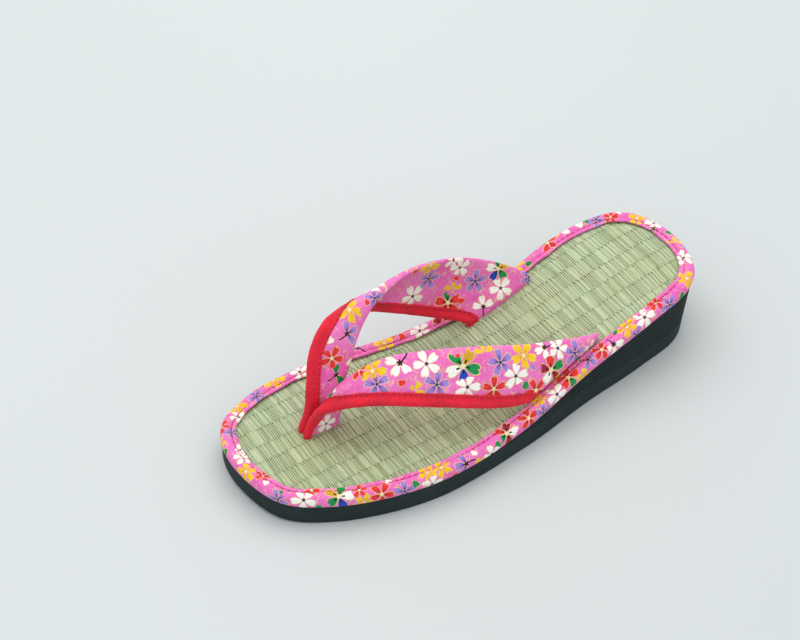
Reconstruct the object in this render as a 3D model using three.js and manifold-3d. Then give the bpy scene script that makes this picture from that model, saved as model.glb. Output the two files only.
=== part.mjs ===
// A left zori-style sandal: an EVA outsole sheet with a laminated heel wedge, a rush-mat insole,
// a fabric edge binding, a V-shaped padded strap and its two corded pipings.
// Millimetres. Heel towards +Y, toe towards -Y, outer (lateral) side of the left foot towards +X, +Z up.
import * as THREE from 'three';
import { mergeVertices } from 'three/addons/utils/BufferGeometryUtils.js';
import Module from 'manifold-3d';

const wasm = await Module();
wasm.setup();

// ---- driving dimensions ----

const GAP = 0.3; // left between pieces that touch
const SAMPLES_PER_KNOT = 5; // facets between two rows of the outline

const SHEET_THICKNESS = 10; // flat outsole sheet under the whole foot
const HEEL_RISE = 23.5; // what the wedge adds at the heel
const RISE_START_Y = -30; // the top begins to climb here
const RISE_LENGTH = 155;
const WEDGE_START_Y = -13; // feather edge of the heel wedge
const TOE_SPRING = 2; // lift of the toe tip off the floor
const TOE_SPRING_START_Y = -95;
const TOE_SPRING_LENGTH = 26;

const SOLE_TOP_INSET = 0.8; // sole edge inside the binding's outer edge
const SOLE_FRONT_INSET = 0.3; // the same at the floor, forefoot
const SOLE_HEEL_INSET = 3.2; // the same at the floor, back of the heel
const HEEL_TAPER_START_Y = 20;
const HEEL_TAPER_LENGTH = 95;

const INSOLE_INSET = 2.2; // insole edge inside the binding's outer edge
const INSOLE_THICKNESS = 4.2; // foam core with the rush mat on it

const STRAP_THICKNESS = 3;
const STRAP_CROWN = 1.2; // how much the padded band bulges across its width
const STRAP_STEPS = 44; // stations along a band
const STRAP_ACROSS = 6; // facets across a band
const CROWN_FADE_STEPS = 9; // stations over which the bulge fades out at each end
const PIPING_RADIUS = 2;
const PIPING_CLEARANCE = 0.5; // between a piping and the strap edge it runs along
const PIPING_SIDES = 10;
const BURIED_CLEARANCE = 0.8; // strap ends stop this far above the sole

const NECK_X = -8; // plane where the two halves of the strap stand face to face
const TOE_SLIT_WIDTH = 8.2;
const TOE_SLIT_END_RADIUS = 4.7; // round front end, for the two pipings side by side
const SLIT_MARGIN = 0.4; // play between a slit's wall and what goes through it
const SLIT_BOTTOM = -5; // the cutting prism starts below the floor
const SLIT_DEPTH = 60; // and ends above the insole
const SLIT_ROUND_STEPS = 16;

// Outer edge of the footbed, seen from above: where each side is at each station.
const TOE_TIP = { x: -11.5, y: -121.2 };
const HEEL_TIP = { x: -8, y: 121.2 };
const OUTLINE = [
  { y: -114, medial: -32.6, lateral: 19 },
  { y: -95, medial: -42.7, lateral: 33 },
  { y: -70, medial: -46, lateral: 42.2 },
  { y: -42, medial: -43.8, lateral: 46 },
  { y: 0, medial: -38.4, lateral: 42 },
  { y: 40, medial: -38.2, lateral: 34.3 },
  { y: 80, medial: -42.6, lateral: 29.4 },
  { y: 105, medial: -38.2, lateral: 24 },
  { y: 116, medial: -27.8, lateral: 14.6 },
];

// The strap's front edge (where its piping runs) and rear edge, from the toe slot to the side slit.
const LATERAL_BAND = [
  { frontX: -5.8, frontY: -84.5, frontZ: 16, rearX: -6.6, rearY: -68, rearZ: 16 },
  { frontX: -5.6, frontY: -80.8, frontZ: 24.5, rearX: -6.6, rearY: -65, rearZ: 26 },
  { frontX: -2, frontY: -78.5, frontZ: 31.5, rearX: -5.5, rearY: -58.5, rearZ: 40 },
  { frontX: 4.8, frontY: -68.5, frontZ: 36, rearX: 0, rearY: -47, rearZ: 49 },
  { frontX: 12.6, frontY: -57, frontZ: 38, rearX: 5.5, rearY: -34, rearZ: 51 },
  { frontX: 20.1, frontY: -44, frontZ: 37, rearX: 11, rearY: -19, rearZ: 50 },
  { frontX: 26.1, frontY: -30, frontZ: 34, rearX: 15.8, rearY: -3, rearZ: 47 },
  { frontX: 30.4, frontY: -16, frontZ: 29.5, rearX: 20, rearY: 14, rearZ: 42.5 },
  { frontX: 33.2, frontY: -3, frontZ: 25.5, rearX: 23.5, rearY: 35, rearZ: 38 },
  { frontX: 33.4, frontY: 7.5, frontZ: 22.8, rearX: 24.6, rearY: 50.5, rearZ: 34.4 },
  { frontX: 30.2, frontY: 11.5, frontZ: 21, rearX: 21.8, rearY: 57, rearZ: 31.4 },
];
const MEDIAL_BAND = [
  { frontX: -10.2, frontY: -84.5, frontZ: 16, rearX: -9.4, rearY: -68, rearZ: 16 },
  { frontX: -10.3, frontY: -81.2, frontZ: 25, rearX: -9.4, rearY: -65, rearZ: 27 },
  { frontX: -11.7, frontY: -79, frontZ: 37.8, rearX: -12, rearY: -59.5, rearZ: 38 },
  { frontX: -17.4, frontY: -73.5, frontZ: 52, rearX: -17.5, rearY: -51, rearZ: 49.5 },
  { frontX: -24.6, frontY: -61.7, frontZ: 58.5, rearX: -23.5, rearY: -39, rearZ: 57 },
  { frontX: -30.9, frontY: -47.5, frontZ: 55.3, rearX: -29, rearY: -25, rearZ: 60 },
  { frontX: -34.5, frontY: -31.7, frontZ: 44.5, rearX: -33.5, rearY: -8, rearZ: 59 },
  { frontX: -34.8, frontY: -15.5, frontZ: 34.5, rearX: -35.8, rearY: 10, rearZ: 54 },
  { frontX: -32.5, frontY: -2, frontZ: 27.5, rearX: -35.2, rearY: 28, rearZ: 45 },
  { frontX: -28, frontY: 9, frontZ: 23.5, rearX: -31.5, rearY: 43.5, rearZ: 35.5 },
  { frontX: -24, frontY: 14.5, frontZ: 21.2, rearX: -27.8, rearY: 51.5, rearZ: 29.2 },
];

// Section of the edge binding: distance inwards from the outer edge, and height above the sole top.
const BINDING_SECTION = [
  { inward: 0.5, height: 0.3 },
  { inward: 0, height: 1.6 },
  { inward: 0, height: 3.4 },
  { inward: 0.9, height: 4.9 },
  { inward: 2.6, height: 5.8 },
  { inward: 4.4, height: 5.8 },
  { inward: 5.2, height: 5.4 },
  { inward: 7.2, height: 5.5 },
  { inward: 7.2, height: 4.8 },
  { inward: 1.9, height: 4.8 },
  { inward: 1.9, height: 0.3 },
];

// ---- heights ----

function smoothstep(value) {
  const s = Math.min(Math.max(value, 0), 1);
  return s * s * (3 - 2 * s);
}

function floorLift(y) {
  const s = Math.max(0, (TOE_SPRING_START_Y - y) / TOE_SPRING_LENGTH);
  return TOE_SPRING * s * s;
}

function sheetTop(y) {
  return SHEET_THICKNESS + floorLift(y);
}

function soleTop(y) {
  return sheetTop(y) + HEEL_RISE * smoothstep((y - RISE_START_Y) / RISE_LENGTH);
}

// ---- the outline and loops inside it ----

// Knots run from the toe tip along the lateral side to the heel tip and back along the medial side,
// so sample i and its mirror lie at nearly the same station.
function outlineSamples() {
  const lateral = OUTLINE.map((row) => new THREE.Vector3(row.lateral, row.y, 0));
  const medial = OUTLINE.map((row) => new THREE.Vector3(row.medial, row.y, 0)).reverse();
  const toe = new THREE.Vector3(TOE_TIP.x, TOE_TIP.y, 0);
  const heel = new THREE.Vector3(HEEL_TIP.x, HEEL_TIP.y, 0);
  const curve = new THREE.CatmullRomCurve3([toe, ...lateral, heel, ...medial], true, 'centripetal');
  const count = curve.points.length * SAMPLES_PER_KNOT;
  const samples = [];
  for (let i = 0; i < count; i += 1) {
    const point = curve.getPoint(i / count);
    const tangent = curve.getTangent(i / count);
    const outward = new THREE.Vector3(tangent.y, -tangent.x, 0).normalize();
    samples.push({ point, outward });
  }
  return samples;
}

const EDGE = outlineSamples();

// A closed loop: each outline sample moved inwards by inset(y) and lifted to height(y).
function loopAt(inset, height) {
  return EDGE.map(({ point, outward }) => {
    const moved = point.clone().addScaledVector(outward, -inset(point.y));
    moved.z = height(moved.y);
    return moved;
  });
}

function soleInset(y, z) {
  const heelShare = smoothstep((y - HEEL_TAPER_START_Y) / HEEL_TAPER_LENGTH);
  const bottom = SOLE_FRONT_INSET + (SOLE_HEEL_INSET - SOLE_FRONT_INSET) * heelShare;
  return THREE.MathUtils.lerp(bottom, SOLE_TOP_INSET, (z - floorLift(y)) / (soleTop(y) - floorLift(y)));
}

// ---- solids from rings ----

function geometryFrom(points, triangles) {
  const geometry = new THREE.BufferGeometry();
  geometry.setAttribute('position', new THREE.Float32BufferAttribute(points.flatMap((p) => p.toArray()), 3));
  geometry.setIndex(triangles);
  return geometry;
}

// Joins each ring to the next with quads. Caps join a ring's point k to point count - k, as a strip
// of quads across it. A closed set of rings (a torus) needs no caps.
function skin(rings, closed) {
  const count = rings[0].length;
  const triangles = [];
  const last = closed ? rings.length : rings.length - 1;
  for (let i = 0; i < last; i += 1) {
    const here = i * count;
    const next = ((i + 1) % rings.length) * count;
    for (let k = 0; k < count; k += 1) {
      const k2 = (k + 1) % count;
      triangles.push(here + k, here + k2, next + k2, here + k, next + k2, next + k);
    }
  }
  if (!closed) {
    triangles.push(...stripCap(count, 0, true));
    triangles.push(...stripCap(count, (rings.length - 1) * count, false));
  }
  return outwards(geometryFrom(rings.flat(), triangles));
}

function stripCap(count, offset, flipped) {
  const triangles = [];
  for (let near = 0, far = count - 1; near < far - 1; ) {
    const third = near + 1;
    triangles.push(flipped ? [near, far, third] : [near, third, far]);
    near = third;
    if (near < far - 1) {
      triangles.push(flipped ? [near, far, far - 1] : [near, far - 1, far]);
      far -= 1;
    }
  }
  return triangles.flat().map((index) => index + offset);
}

function signedVolume(geometry) {
  const position = geometry.getAttribute('position');
  const index = geometry.getIndex().array;
  const [a, b, c] = [new THREE.Vector3(), new THREE.Vector3(), new THREE.Vector3()];
  let volume = 0;
  for (let i = 0; i < index.length; i += 3) {
    a.fromBufferAttribute(position, index[i]);
    b.fromBufferAttribute(position, index[i + 1]);
    c.fromBufferAttribute(position, index[i + 2]);
    volume += a.dot(b.cross(c)) / 6;
  }
  return volume;
}

function outwards(geometry) {
  if (signedVolume(geometry) < 0) {
    const index = geometry.getIndex();
    for (let i = 0; i < index.count; i += 3) {
      const first = index.getX(i);
      index.setX(i, index.getX(i + 1));
      index.setX(i + 1, first);
    }
  }
  return geometry;
}

function toManifold(geometry) {
  const bare = geometry.clone();
  bare.deleteAttribute('normal');
  bare.deleteAttribute('uv');
  const merged = mergeVertices(bare, 1e-5);
  return new wasm.Manifold(new wasm.Mesh({
    numProp: 3,
    vertProperties: new Float32Array(merged.getAttribute('position').array),
    triVerts: new Uint32Array(merged.getIndex().array),
  }));
}

function fromManifold(solid) {
  const mesh = solid.getMesh();
  const geometry = new THREE.BufferGeometry();
  geometry.setAttribute('position', new THREE.BufferAttribute(new Float32Array(mesh.vertProperties), 3));
  geometry.setIndex(new THREE.BufferAttribute(new Uint32Array(mesh.triVerts), 1));
  return geometry;
}

// ---- sole ----

function outsoleSheet() {
  const bottom = loopAt((y) => soleInset(y, floorLift(y)), floorLift);
  const top = loopAt((y) => soleInset(y, sheetTop(y)), sheetTop);
  return skin([bottom, top], false);
}

function heelWedge() {
  const underside = (y) => sheetTop(y) + GAP;
  const bottom = loopAt((y) => soleInset(y, underside(y)), underside);
  const top = loopAt(() => SOLE_TOP_INSET, soleTop);
  const behindStart = (point, k) => EDGE[k].point.y > WEDGE_START_Y;
  return skin([bottom.filter(behindStart), top.filter(behindStart)], false);
}

// ---- strap ----

// The strap's two edge curves; both bands end in a straight, upright tongue buried in the insole.
function bandCurves(rows) {
  const front = new THREE.CatmullRomCurve3(
    rows.map((row) => new THREE.Vector3(row.frontX, row.frontY, row.frontZ)), false, 'centripetal');
  const rear = new THREE.CatmullRomCurve3(
    rows.map((row) => new THREE.Vector3(row.rearX, row.rearY, row.rearZ)), false, 'centripetal');
  return { front, rear };
}

function buried(point) {
  return new THREE.Vector3(point.x, point.y, soleTop(point.y) + BURIED_CLEARANCE);
}

// Points of one edge, from the buried end in the toe slot to the buried end in the side slit.
function edgePoints(curve, steps) {
  const points = [];
  for (let i = 0; i <= steps; i += 1) {
    points.push(curve.getPoint(i / steps));
  }
  return [buried(points[0]), ...points, buried(points[steps])];
}

function bandNormals(fronts, rears) {
  return fronts.map((front, i) => {
    const before = Math.max(i - 1, 0);
    const after = Math.min(i + 1, fronts.length - 1);
    const along = fronts[after].clone().add(rears[after]).sub(fronts[before]).sub(rears[before]);
    const across = rears[i].clone().sub(front);
    if (i <= 1 || i >= fronts.length - 2) {
      along.set(0, 0, i <= 1 ? 1 : -1);
    }
    return along.cross(across).normalize();
  });
}

// Direction of an edge at each of its points; upright where it is buried.
function edgeTangents(points) {
  return points.map((point, i) => {
    if (i <= 1 || i >= points.length - 2) {
      return new THREE.Vector3(0, 0, i <= 1 ? 1 : -1);
    }
    return points[i + 1].clone().sub(points[i - 1]).normalize();
  });
}

// One padded band: rings of equal thickness, crowned outwards across the width, with rounded long
// edges. The outer sign is 1 where the rows run with the outer face on their right, else -1.
function band(rows, outer) {
  const { front, rear } = bandCurves(rows);
  const fronts = edgePoints(front, STRAP_STEPS);
  const rears = edgePoints(rear, STRAP_STEPS);
  const normals = bandNormals(fronts, rears);
  const tangents = edgeTangents(fronts);
  const half = STRAP_THICKNESS / 2;
  const rings = fronts.map((frontPoint, i) => {
    const clear = rears[i].clone().sub(frontPoint);
    clear.addScaledVector(tangents[i], -clear.dot(tangents[i])).normalize();
    const start = frontPoint.clone().addScaledVector(clear, PIPING_RADIUS + PIPING_CLEARANCE);
    const across = rears[i].clone().sub(start);
    const span = across.length() - half;
    across.normalize();
    const fade = smoothstep(Math.min(i, fronts.length - 1 - i) / CROWN_FADE_STEPS);
    const ring = [];
    const place = (share, side) => {
      const lift = outer * STRAP_CROWN * fade * 4 * share * (1 - share) + side;
      return start.clone().addScaledVector(across, share * span).addScaledVector(normals[i], lift);
    };
    for (let k = 0; k <= STRAP_ACROSS; k += 1) {
      ring.push(place(k / STRAP_ACROSS, half));
    }
    ring.push(rears[i].clone());
    for (let k = STRAP_ACROSS; k >= 0; k -= 1) {
      ring.push(place(k / STRAP_ACROSS, -half));
    }
    return ring;
  });
  return skin(rings, false);
}

function strap() {
  return fromManifold(toManifold(band(LATERAL_BAND, 1)).add(toManifold(band(MEDIAL_BAND, -1))));
}

function piping(rows) {
  const points = edgePoints(bandCurves(rows).front, STRAP_STEPS);
  const normals = bandNormals(points, edgePoints(bandCurves(rows).rear, STRAP_STEPS));
  const tangents = edgeTangents(points);
  const rings = points.map((point, i) => {
    const along = tangents[i];
    const up = normals[i].clone().addScaledVector(along, -normals[i].dot(along)).normalize();
    const side = along.clone().cross(up);
    const ring = [];
    for (let k = 0; k < PIPING_SIDES; k += 1) {
      const angle = (2 * Math.PI * (k + 0.5)) / PIPING_SIDES;
      ring.push(point.clone().addScaledVector(side, PIPING_RADIUS * Math.cos(angle))
        .addScaledVector(up, PIPING_RADIUS * Math.sin(angle)));
    }
    return ring;
  });
  return skin(rings, false);
}

// ---- slits through the insole ----

// A slit as a tall prism: a bar as wide as the strap between two points, and a round end for the
// piping at its front.
function slit(front, rear, barWidth, endRadius) {
  const along = new THREE.Vector2(rear.x - front.x, rear.y - front.y);
  const length = along.length();
  const half = barWidth / 2;
  const cut = Math.asin(half / endRadius);
  const shape = new THREE.Shape();
  shape.moveTo(length + SLIT_MARGIN, -half);
  shape.lineTo(length + SLIT_MARGIN, half);
  shape.lineTo(Math.cos(cut) * endRadius, half);
  shape.absarc(0, 0, endRadius, cut, 2 * Math.PI - cut, false);
  shape.closePath();
  const prism = new THREE.ExtrudeGeometry(shape, {
    depth: SLIT_DEPTH,
    bevelEnabled: false,
    curveSegments: SLIT_ROUND_STEPS,
  });
  prism.rotateZ(along.angle());
  prism.translate(front.x, front.y, SLIT_BOTTOM);
  return toManifold(prism);
}

function sideSlit(rows) {
  const end = rows[rows.length - 1];
  return slit({ x: end.frontX, y: end.frontY }, { x: end.rearX, y: end.rearY },
    STRAP_THICKNESS + 2 * SLIT_MARGIN, PIPING_RADIUS + SLIT_MARGIN);
}

function toeSlit() {
  const { frontY, rearY } = LATERAL_BAND[0];
  return slit({ x: NECK_X, y: frontY }, { x: NECK_X, y: rearY },
    TOE_SLIT_WIDTH, TOE_SLIT_END_RADIUS);
}

function insole() {
  const bottom = loopAt(() => INSOLE_INSET, (y) => soleTop(y) + GAP);
  const top = loopAt(() => INSOLE_INSET, (y) => soleTop(y) + GAP + INSOLE_THICKNESS);
  const pad = toManifold(skin([bottom, top], false));
  const slits = toeSlit().add(sideSlit(LATERAL_BAND)).add(sideSlit(MEDIAL_BAND));
  return fromManifold(pad.subtract(slits));
}

function edgeBinding() {
  const rings = EDGE.map(({ point, outward }) => BINDING_SECTION.map(({ inward, height }) => {
    const corner = point.clone().addScaledVector(outward, -inward);
    corner.z = soleTop(corner.y) + height;
    return corner;
  }));
  return skin(rings, true);
}

// ---- assembly ----

function piece(name, geometry, color, roughness) {
  const material = new THREE.MeshStandardMaterial({ color, roughness, metalness: 0 });
  const mesh = new THREE.Mesh(geometry, material);
  mesh.name = name;
  return mesh;
}

const sandal = new THREE.Group();
sandal.name = 'zori_sandal';
sandal.add(
  piece('outsole_sheet', outsoleSheet(), '#26353a', 0.75),
  piece('heel_wedge', heelWedge(), '#202e33', 0.75),
  piece('insole', insole(), '#a9b48a', 0.7),
  piece('edge_binding', edgeBinding(), '#e565b4', 0.85),
  piece('strap', strap(), '#ea6cbb', 0.85),
  piece('piping_lateral', piping(LATERAL_BAND), '#cf1b2a', 0.8),
  piece('piping_medial', piping(MEDIAL_BAND), '#cf1b2a', 0.8),
);

export default sandal;
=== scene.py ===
"""Left zori sandal: rush-mat footbed, printed cotton strap with corded pipings, bound edge, foam sole.

Lengths are millimetres in the part's own frame (toe towards -Y, outer side of the foot towards +X,
floor at Z = 0) and become metres when a mesh is made.
"""
import math

import bmesh
import bpy
import numpy as np
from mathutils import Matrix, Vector


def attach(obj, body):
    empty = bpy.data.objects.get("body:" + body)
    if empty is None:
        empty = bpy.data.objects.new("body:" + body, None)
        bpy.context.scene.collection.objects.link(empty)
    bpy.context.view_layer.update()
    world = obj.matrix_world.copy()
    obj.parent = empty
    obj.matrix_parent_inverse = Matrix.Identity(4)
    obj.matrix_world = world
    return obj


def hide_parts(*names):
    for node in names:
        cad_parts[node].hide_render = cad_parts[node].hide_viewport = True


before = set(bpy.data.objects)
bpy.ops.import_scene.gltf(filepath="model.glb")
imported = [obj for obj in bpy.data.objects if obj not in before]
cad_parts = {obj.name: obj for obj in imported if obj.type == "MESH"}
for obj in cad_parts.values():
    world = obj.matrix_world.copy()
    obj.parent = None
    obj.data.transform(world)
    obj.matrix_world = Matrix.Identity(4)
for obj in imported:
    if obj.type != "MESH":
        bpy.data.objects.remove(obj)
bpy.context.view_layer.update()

MM = 0.001  # one millimetre in metres
FULL_TURN = 2 * math.pi

# ---- the solid part's own sizes ----

SHEET_THICKNESS = 10.0  # flat outsole sheet under the whole foot
HEEL_RISE = 23.5  # what the wedge adds at the heel
RISE_START_Y = -30.0
RISE_LENGTH = 155.0
TOE_SPRING = 2.0
TOE_SPRING_START_Y = -95.0
TOE_SPRING_LENGTH = 26.0
SOLE_TOP_INSET = 0.8  # sole edge inside the binding's outer edge
SOLE_FRONT_INSET = 0.3  # the same at the floor, forefoot
SOLE_HEEL_INSET = 3.2  # the same at the floor, back of the heel
HEEL_TAPER_START_Y = 20.0
HEEL_TAPER_LENGTH = 95.0
INSOLE_INSET = 2.2
INSOLE_TOP = 4.5  # mat surface above the sole's top
STRAP_HALF = 1.5  # half the padded band's thickness
STRAP_CROWN = 1.2  # how much it bulges across its width
BAND_START = 2.5  # from the piping's centre line to the band's straight stretch
TONGUE_END = 0.8  # the strap's buried ends stop this far above the sole
NECK_X = -8.0  # plane where the two halves of the strap stand face to face
TONGUE_STEPS = 4  # rows of each buried end
NORMAL_BLEND = 9  # stations over which the outer normal is averaged

# Outer edge of the footbed from above: station, inner side of the foot, outer side of the foot.
TOE_TIP = (-11.5, -121.2)
HEEL_TIP = (-8.0, 121.2)
OUTLINE = [
    # y, medial x, lateral x
    (-114.0, -32.6, 19.0),
    (-95.0, -42.7, 33.0),
    (-70.0, -46.0, 42.2),
    (-42.0, -43.8, 46.0),
    (0.0, -38.4, 42.0),
    (40.0, -38.2, 34.3),
    (80.0, -42.6, 29.4),
    (105.0, -38.2, 24.0),
    (116.0, -27.8, 14.6),
]

# Strap bands from the toe slit to the side slit: front edge x, y, z, then rear edge x, y, z.
LATERAL_BAND = [
    (-5.8, -84.5, 16.0, -6.6, -68.0, 16.0),
    (-5.6, -80.8, 24.5, -6.6, -65.0, 26.0),
    (-2.0, -78.5, 31.5, -5.5, -58.5, 40.0),
    (4.8, -68.5, 36.0, 0.0, -47.0, 49.0),
    (12.6, -57.0, 38.0, 5.5, -34.0, 51.0),
    (20.1, -44.0, 37.0, 11.0, -19.0, 50.0),
    (26.1, -30.0, 34.0, 15.8, -3.0, 47.0),
    (30.4, -16.0, 29.5, 20.0, 14.0, 42.5),
    (33.2, -3.0, 25.5, 23.5, 35.0, 38.0),
    (33.4, 7.5, 22.8, 24.6, 50.5, 34.4),
    (30.2, 11.5, 21.0, 21.4, 61.0, 32.6),
]
MEDIAL_BAND = [
    (-10.2, -84.5, 16.0, -9.4, -68.0, 16.0),
    (-10.3, -81.2, 25.0, -9.4, -65.0, 27.0),
    (-11.7, -79.0, 37.8, -12.0, -59.5, 38.0),
    (-17.4, -73.5, 52.0, -17.5, -51.0, 49.5),
    (-24.6, -61.7, 58.5, -23.5, -39.0, 57.0),
    (-30.9, -47.5, 55.3, -29.0, -25.0, 60.0),
    (-34.5, -31.7, 44.5, -33.5, -8.0, 59.0),
    (-34.8, -15.5, 34.5, -35.8, 10.0, 54.0),
    (-32.5, -2.0, 27.5, -35.2, 28.0, 45.0),
    (-28.0, 9.0, 23.5, -31.5, 43.5, 35.5),
    (-24.0, 14.5, 21.2, -27.8, 51.5, 29.2),
]


# ---- shape functions ----

def smoothstep(value):
    """0 below 0, 1 above 1, and 3s^2 - 2s^3 between."""
    s = np.clip(value, 0.0, 1.0)
    return s * s * (3 - 2 * s)


def floor_lift(y):
    """Toe spring: a parabola that rises in front of its start."""
    s = np.maximum(0.0, (TOE_SPRING_START_Y - y) / TOE_SPRING_LENGTH)
    return TOE_SPRING * s * s


def sole_top(y):
    """Top of the sole: the sheet's thickness plus the wedge's smooth rise to the heel."""
    return SHEET_THICKNESS + floor_lift(y) + HEEL_RISE * smoothstep((y - RISE_START_Y) / RISE_LENGTH)


def sole_inset(y, z):
    """How far the sole's wall is inside the outline, from its value at the floor to that at the top."""
    bottom = SOLE_FRONT_INSET + (SOLE_HEEL_INSET - SOLE_FRONT_INSET) * smoothstep(
        (y - HEEL_TAPER_START_Y) / HEEL_TAPER_LENGTH)
    share = (z - floor_lift(y)) / (sole_top(y) - floor_lift(y))
    return bottom + (SOLE_TOP_INSET - bottom) * share


def spline(knots, t, closed=False):
    """Centripetal Catmull-Rom curve: a cubic between two knots whose end slopes come from the
    neighbouring knots, with each knot interval as long as the square root of its chord."""
    knots = np.asarray(knots, float)
    count = len(knots)
    if closed:
        place = np.mod(t, 1.0) * count
        first = np.floor(place).astype(int)
        p = [knots[(first + k) % count] for k in (-1, 0, 1, 2)]
    else:
        place = np.clip(t, 0, 1) * (count - 1)
        first = np.minimum(np.floor(place).astype(int), count - 2)
        longer = np.vstack([2 * knots[0] - knots[1], knots, 2 * knots[-1] - knots[-2]])
        p = [longer[first + k] for k in range(4)]
    w = (place - first)[:, None]
    d = [np.maximum(np.linalg.norm(p[k + 1] - p[k], axis=1) ** 0.5, 1e-4)[:, None] for k in range(3)]
    slope1 = ((p[1] - p[0]) / d[0] - (p[2] - p[0]) / (d[0] + d[1]) + (p[2] - p[1]) / d[1]) * d[1]
    slope2 = ((p[2] - p[1]) / d[1] - (p[3] - p[1]) / (d[1] + d[2]) + (p[3] - p[2]) / d[2]) * d[1]
    return (p[1] + slope1 * w + (-3 * p[1] + 3 * p[2] - 2 * slope1 - slope2) * w ** 2
            + (2 * p[1] - 2 * p[2] + slope1 + slope2) * w ** 3)


def lengths_along(points):
    """Distance from the first point to each point, along the line through them."""
    steps = np.linalg.norm(np.diff(points, axis=0), axis=1)
    return np.concatenate([[0.0], np.cumsum(steps)])


def unit(vectors):
    """Each row divided by its length."""
    return vectors / np.maximum(np.linalg.norm(vectors, axis=-1, keepdims=True), 1e-12)


def edge_ring(count):
    """The footbed's outline at equal steps of its length, from the toe tip round the outer side of
    the foot: (points, outward normals, length of one turn)."""
    lateral = [(row[2], row[0]) for row in OUTLINE]
    medial = [(row[1], row[0]) for row in OUTLINE][::-1]
    knots = [TOE_TIP, *lateral, HEEL_TIP, *medial]
    fine = spline(knots, np.linspace(0, 1, 6001), closed=True)
    walked = lengths_along(fine)
    even = np.arange(count) / count * walked[-1]
    points = np.stack([np.interp(even, walked, fine[:, k]) for k in (0, 1)], 1)
    tangent = np.roll(points, -1, 0) - np.roll(points, 1, 0)
    outward = unit(np.stack([tangent[:, 1], -tangent[:, 0]], 1))
    return points, outward, walked[-1]


def wander(rng, count, waves, closed=True):
    """A smooth random line of the given number of waves, about 1 high: a sum of three sines with
    seeded phases."""
    x = np.arange(count) / count if closed else np.linspace(0, 1, count)
    parts = [np.sin(FULL_TURN * (round(waves * k) * x + rng.random())) / k for k in (1, 1.7, 2.3)]
    return sum(parts) / 1.6


def band_lines(rows, outer, count):
    """Stations along a band, with straight upright tongues at both ends. Gives the piping's centre
    line, the rear edge, the direction that leaves the piping at a right angle, the start of the
    band's straight stretch, its direction and width, the outer normal, and a fade at the ends."""
    t = np.linspace(0, 1, count)
    front = spline([row[:3] for row in rows], t)
    rear = spline([row[3:] for row in rows], t)
    down = np.linspace(0, 1, TONGUE_STEPS, endpoint=False)[:, None]
    lines = []
    for line in (front, rear):
        ends = []
        for tip in (line[0], line[-1]):
            low = np.array([tip[0], tip[1], sole_top(tip[1]) + TONGUE_END])
            ends.append(low + (tip - low) * down)
        lines.append(np.vstack([ends[0], line, ends[1][::-1]]))
    front, rear = lines
    tangent = unit(np.gradient(front, axis=0))
    clear = rear - front
    clear = unit(clear - tangent * np.sum(clear * tangent, 1)[:, None])
    start = front + clear * BAND_START
    across = rear - start
    width = np.linalg.norm(across, axis=1)
    across = across / width[:, None]
    normal = np.cross(np.gradient(front + rear, axis=0), across)
    kernel = np.ones(NORMAL_BLEND) / NORMAL_BLEND
    padded = np.pad(unit(normal), ((NORMAL_BLEND // 2, NORMAL_BLEND // 2), (0, 0)), mode="edge")
    normal = np.stack([np.convolve(padded[:, k], kernel, mode="valid") for k in range(3)], 1)
    normal = outer * unit(normal - across * np.sum(normal * across, 1)[:, None])
    row = np.arange(len(front))
    fade = smoothstep(np.minimum(row, len(front) - 1 - row) / (len(front) / 5))
    middle = lengths_along((start + rear) / 2)
    return {"front": front, "rear": rear, "tangent": tangent, "clear": clear, "start": start,
            "across": across, "width": width, "normal": normal, "fade": fade, "along": middle}


def band_surface(lines, row, c, n):
    """Point at station row, c mm from the piping's centre line and n mm out of the band's middle
    layer, which is crowned by 4s(1 - s) across its width."""
    near = np.minimum(c, BAND_START)[..., None]
    far = np.maximum(c - BAND_START, 0.0)
    share = np.clip(far / lines["width"][row], 0, 1)
    lift = n + STRAP_CROWN * lines["fade"][row] * 4 * share * (1 - share)
    return (lines["front"][row] + lines["clear"][row] * near
            + lines["across"][row] * far[..., None] + lines["normal"][row] * lift[..., None])


# ---- meshes ----

def cells(rows, columns, wrap_rows=False, wrap_columns=False, first=0):
    """Four-cornered faces of a grid of points that is stored row by row."""
    r = np.arange(rows if wrap_rows else rows - 1)
    c = np.arange(columns if wrap_columns else columns - 1)
    r, c = np.meshgrid(r, c, indexing="ij")
    r2, c2 = (r + 1) % rows, (c + 1) % columns
    corners = [r * columns + c, r * columns + c2, r2 * columns + c2, r2 * columns + c]
    return first + np.stack(corners, -1).reshape(-1, 4)


def facing_out(points, faces):
    """The faces of a closed shell, turned round if its signed volume (a sum of tetrahedra from the
    origin) is negative."""
    corner = points[faces[:, 0]]
    volume = sum(np.sum(corner * np.cross(points[faces[:, k]], points[faces[:, k + 1]]))
                 for k in range(1, faces.shape[1] - 1))
    return faces if volume > 0 else faces[:, ::-1]


def split(faces):
    """Two triangles for each four-cornered face, without those that a shared corner closes up."""
    halves = np.concatenate([faces[:, [0, 1, 2]], faces[:, [0, 2, 3]]])
    a, b, c = halves.T
    return halves[(a != b) & (b != c) & (a != c)]


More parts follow.
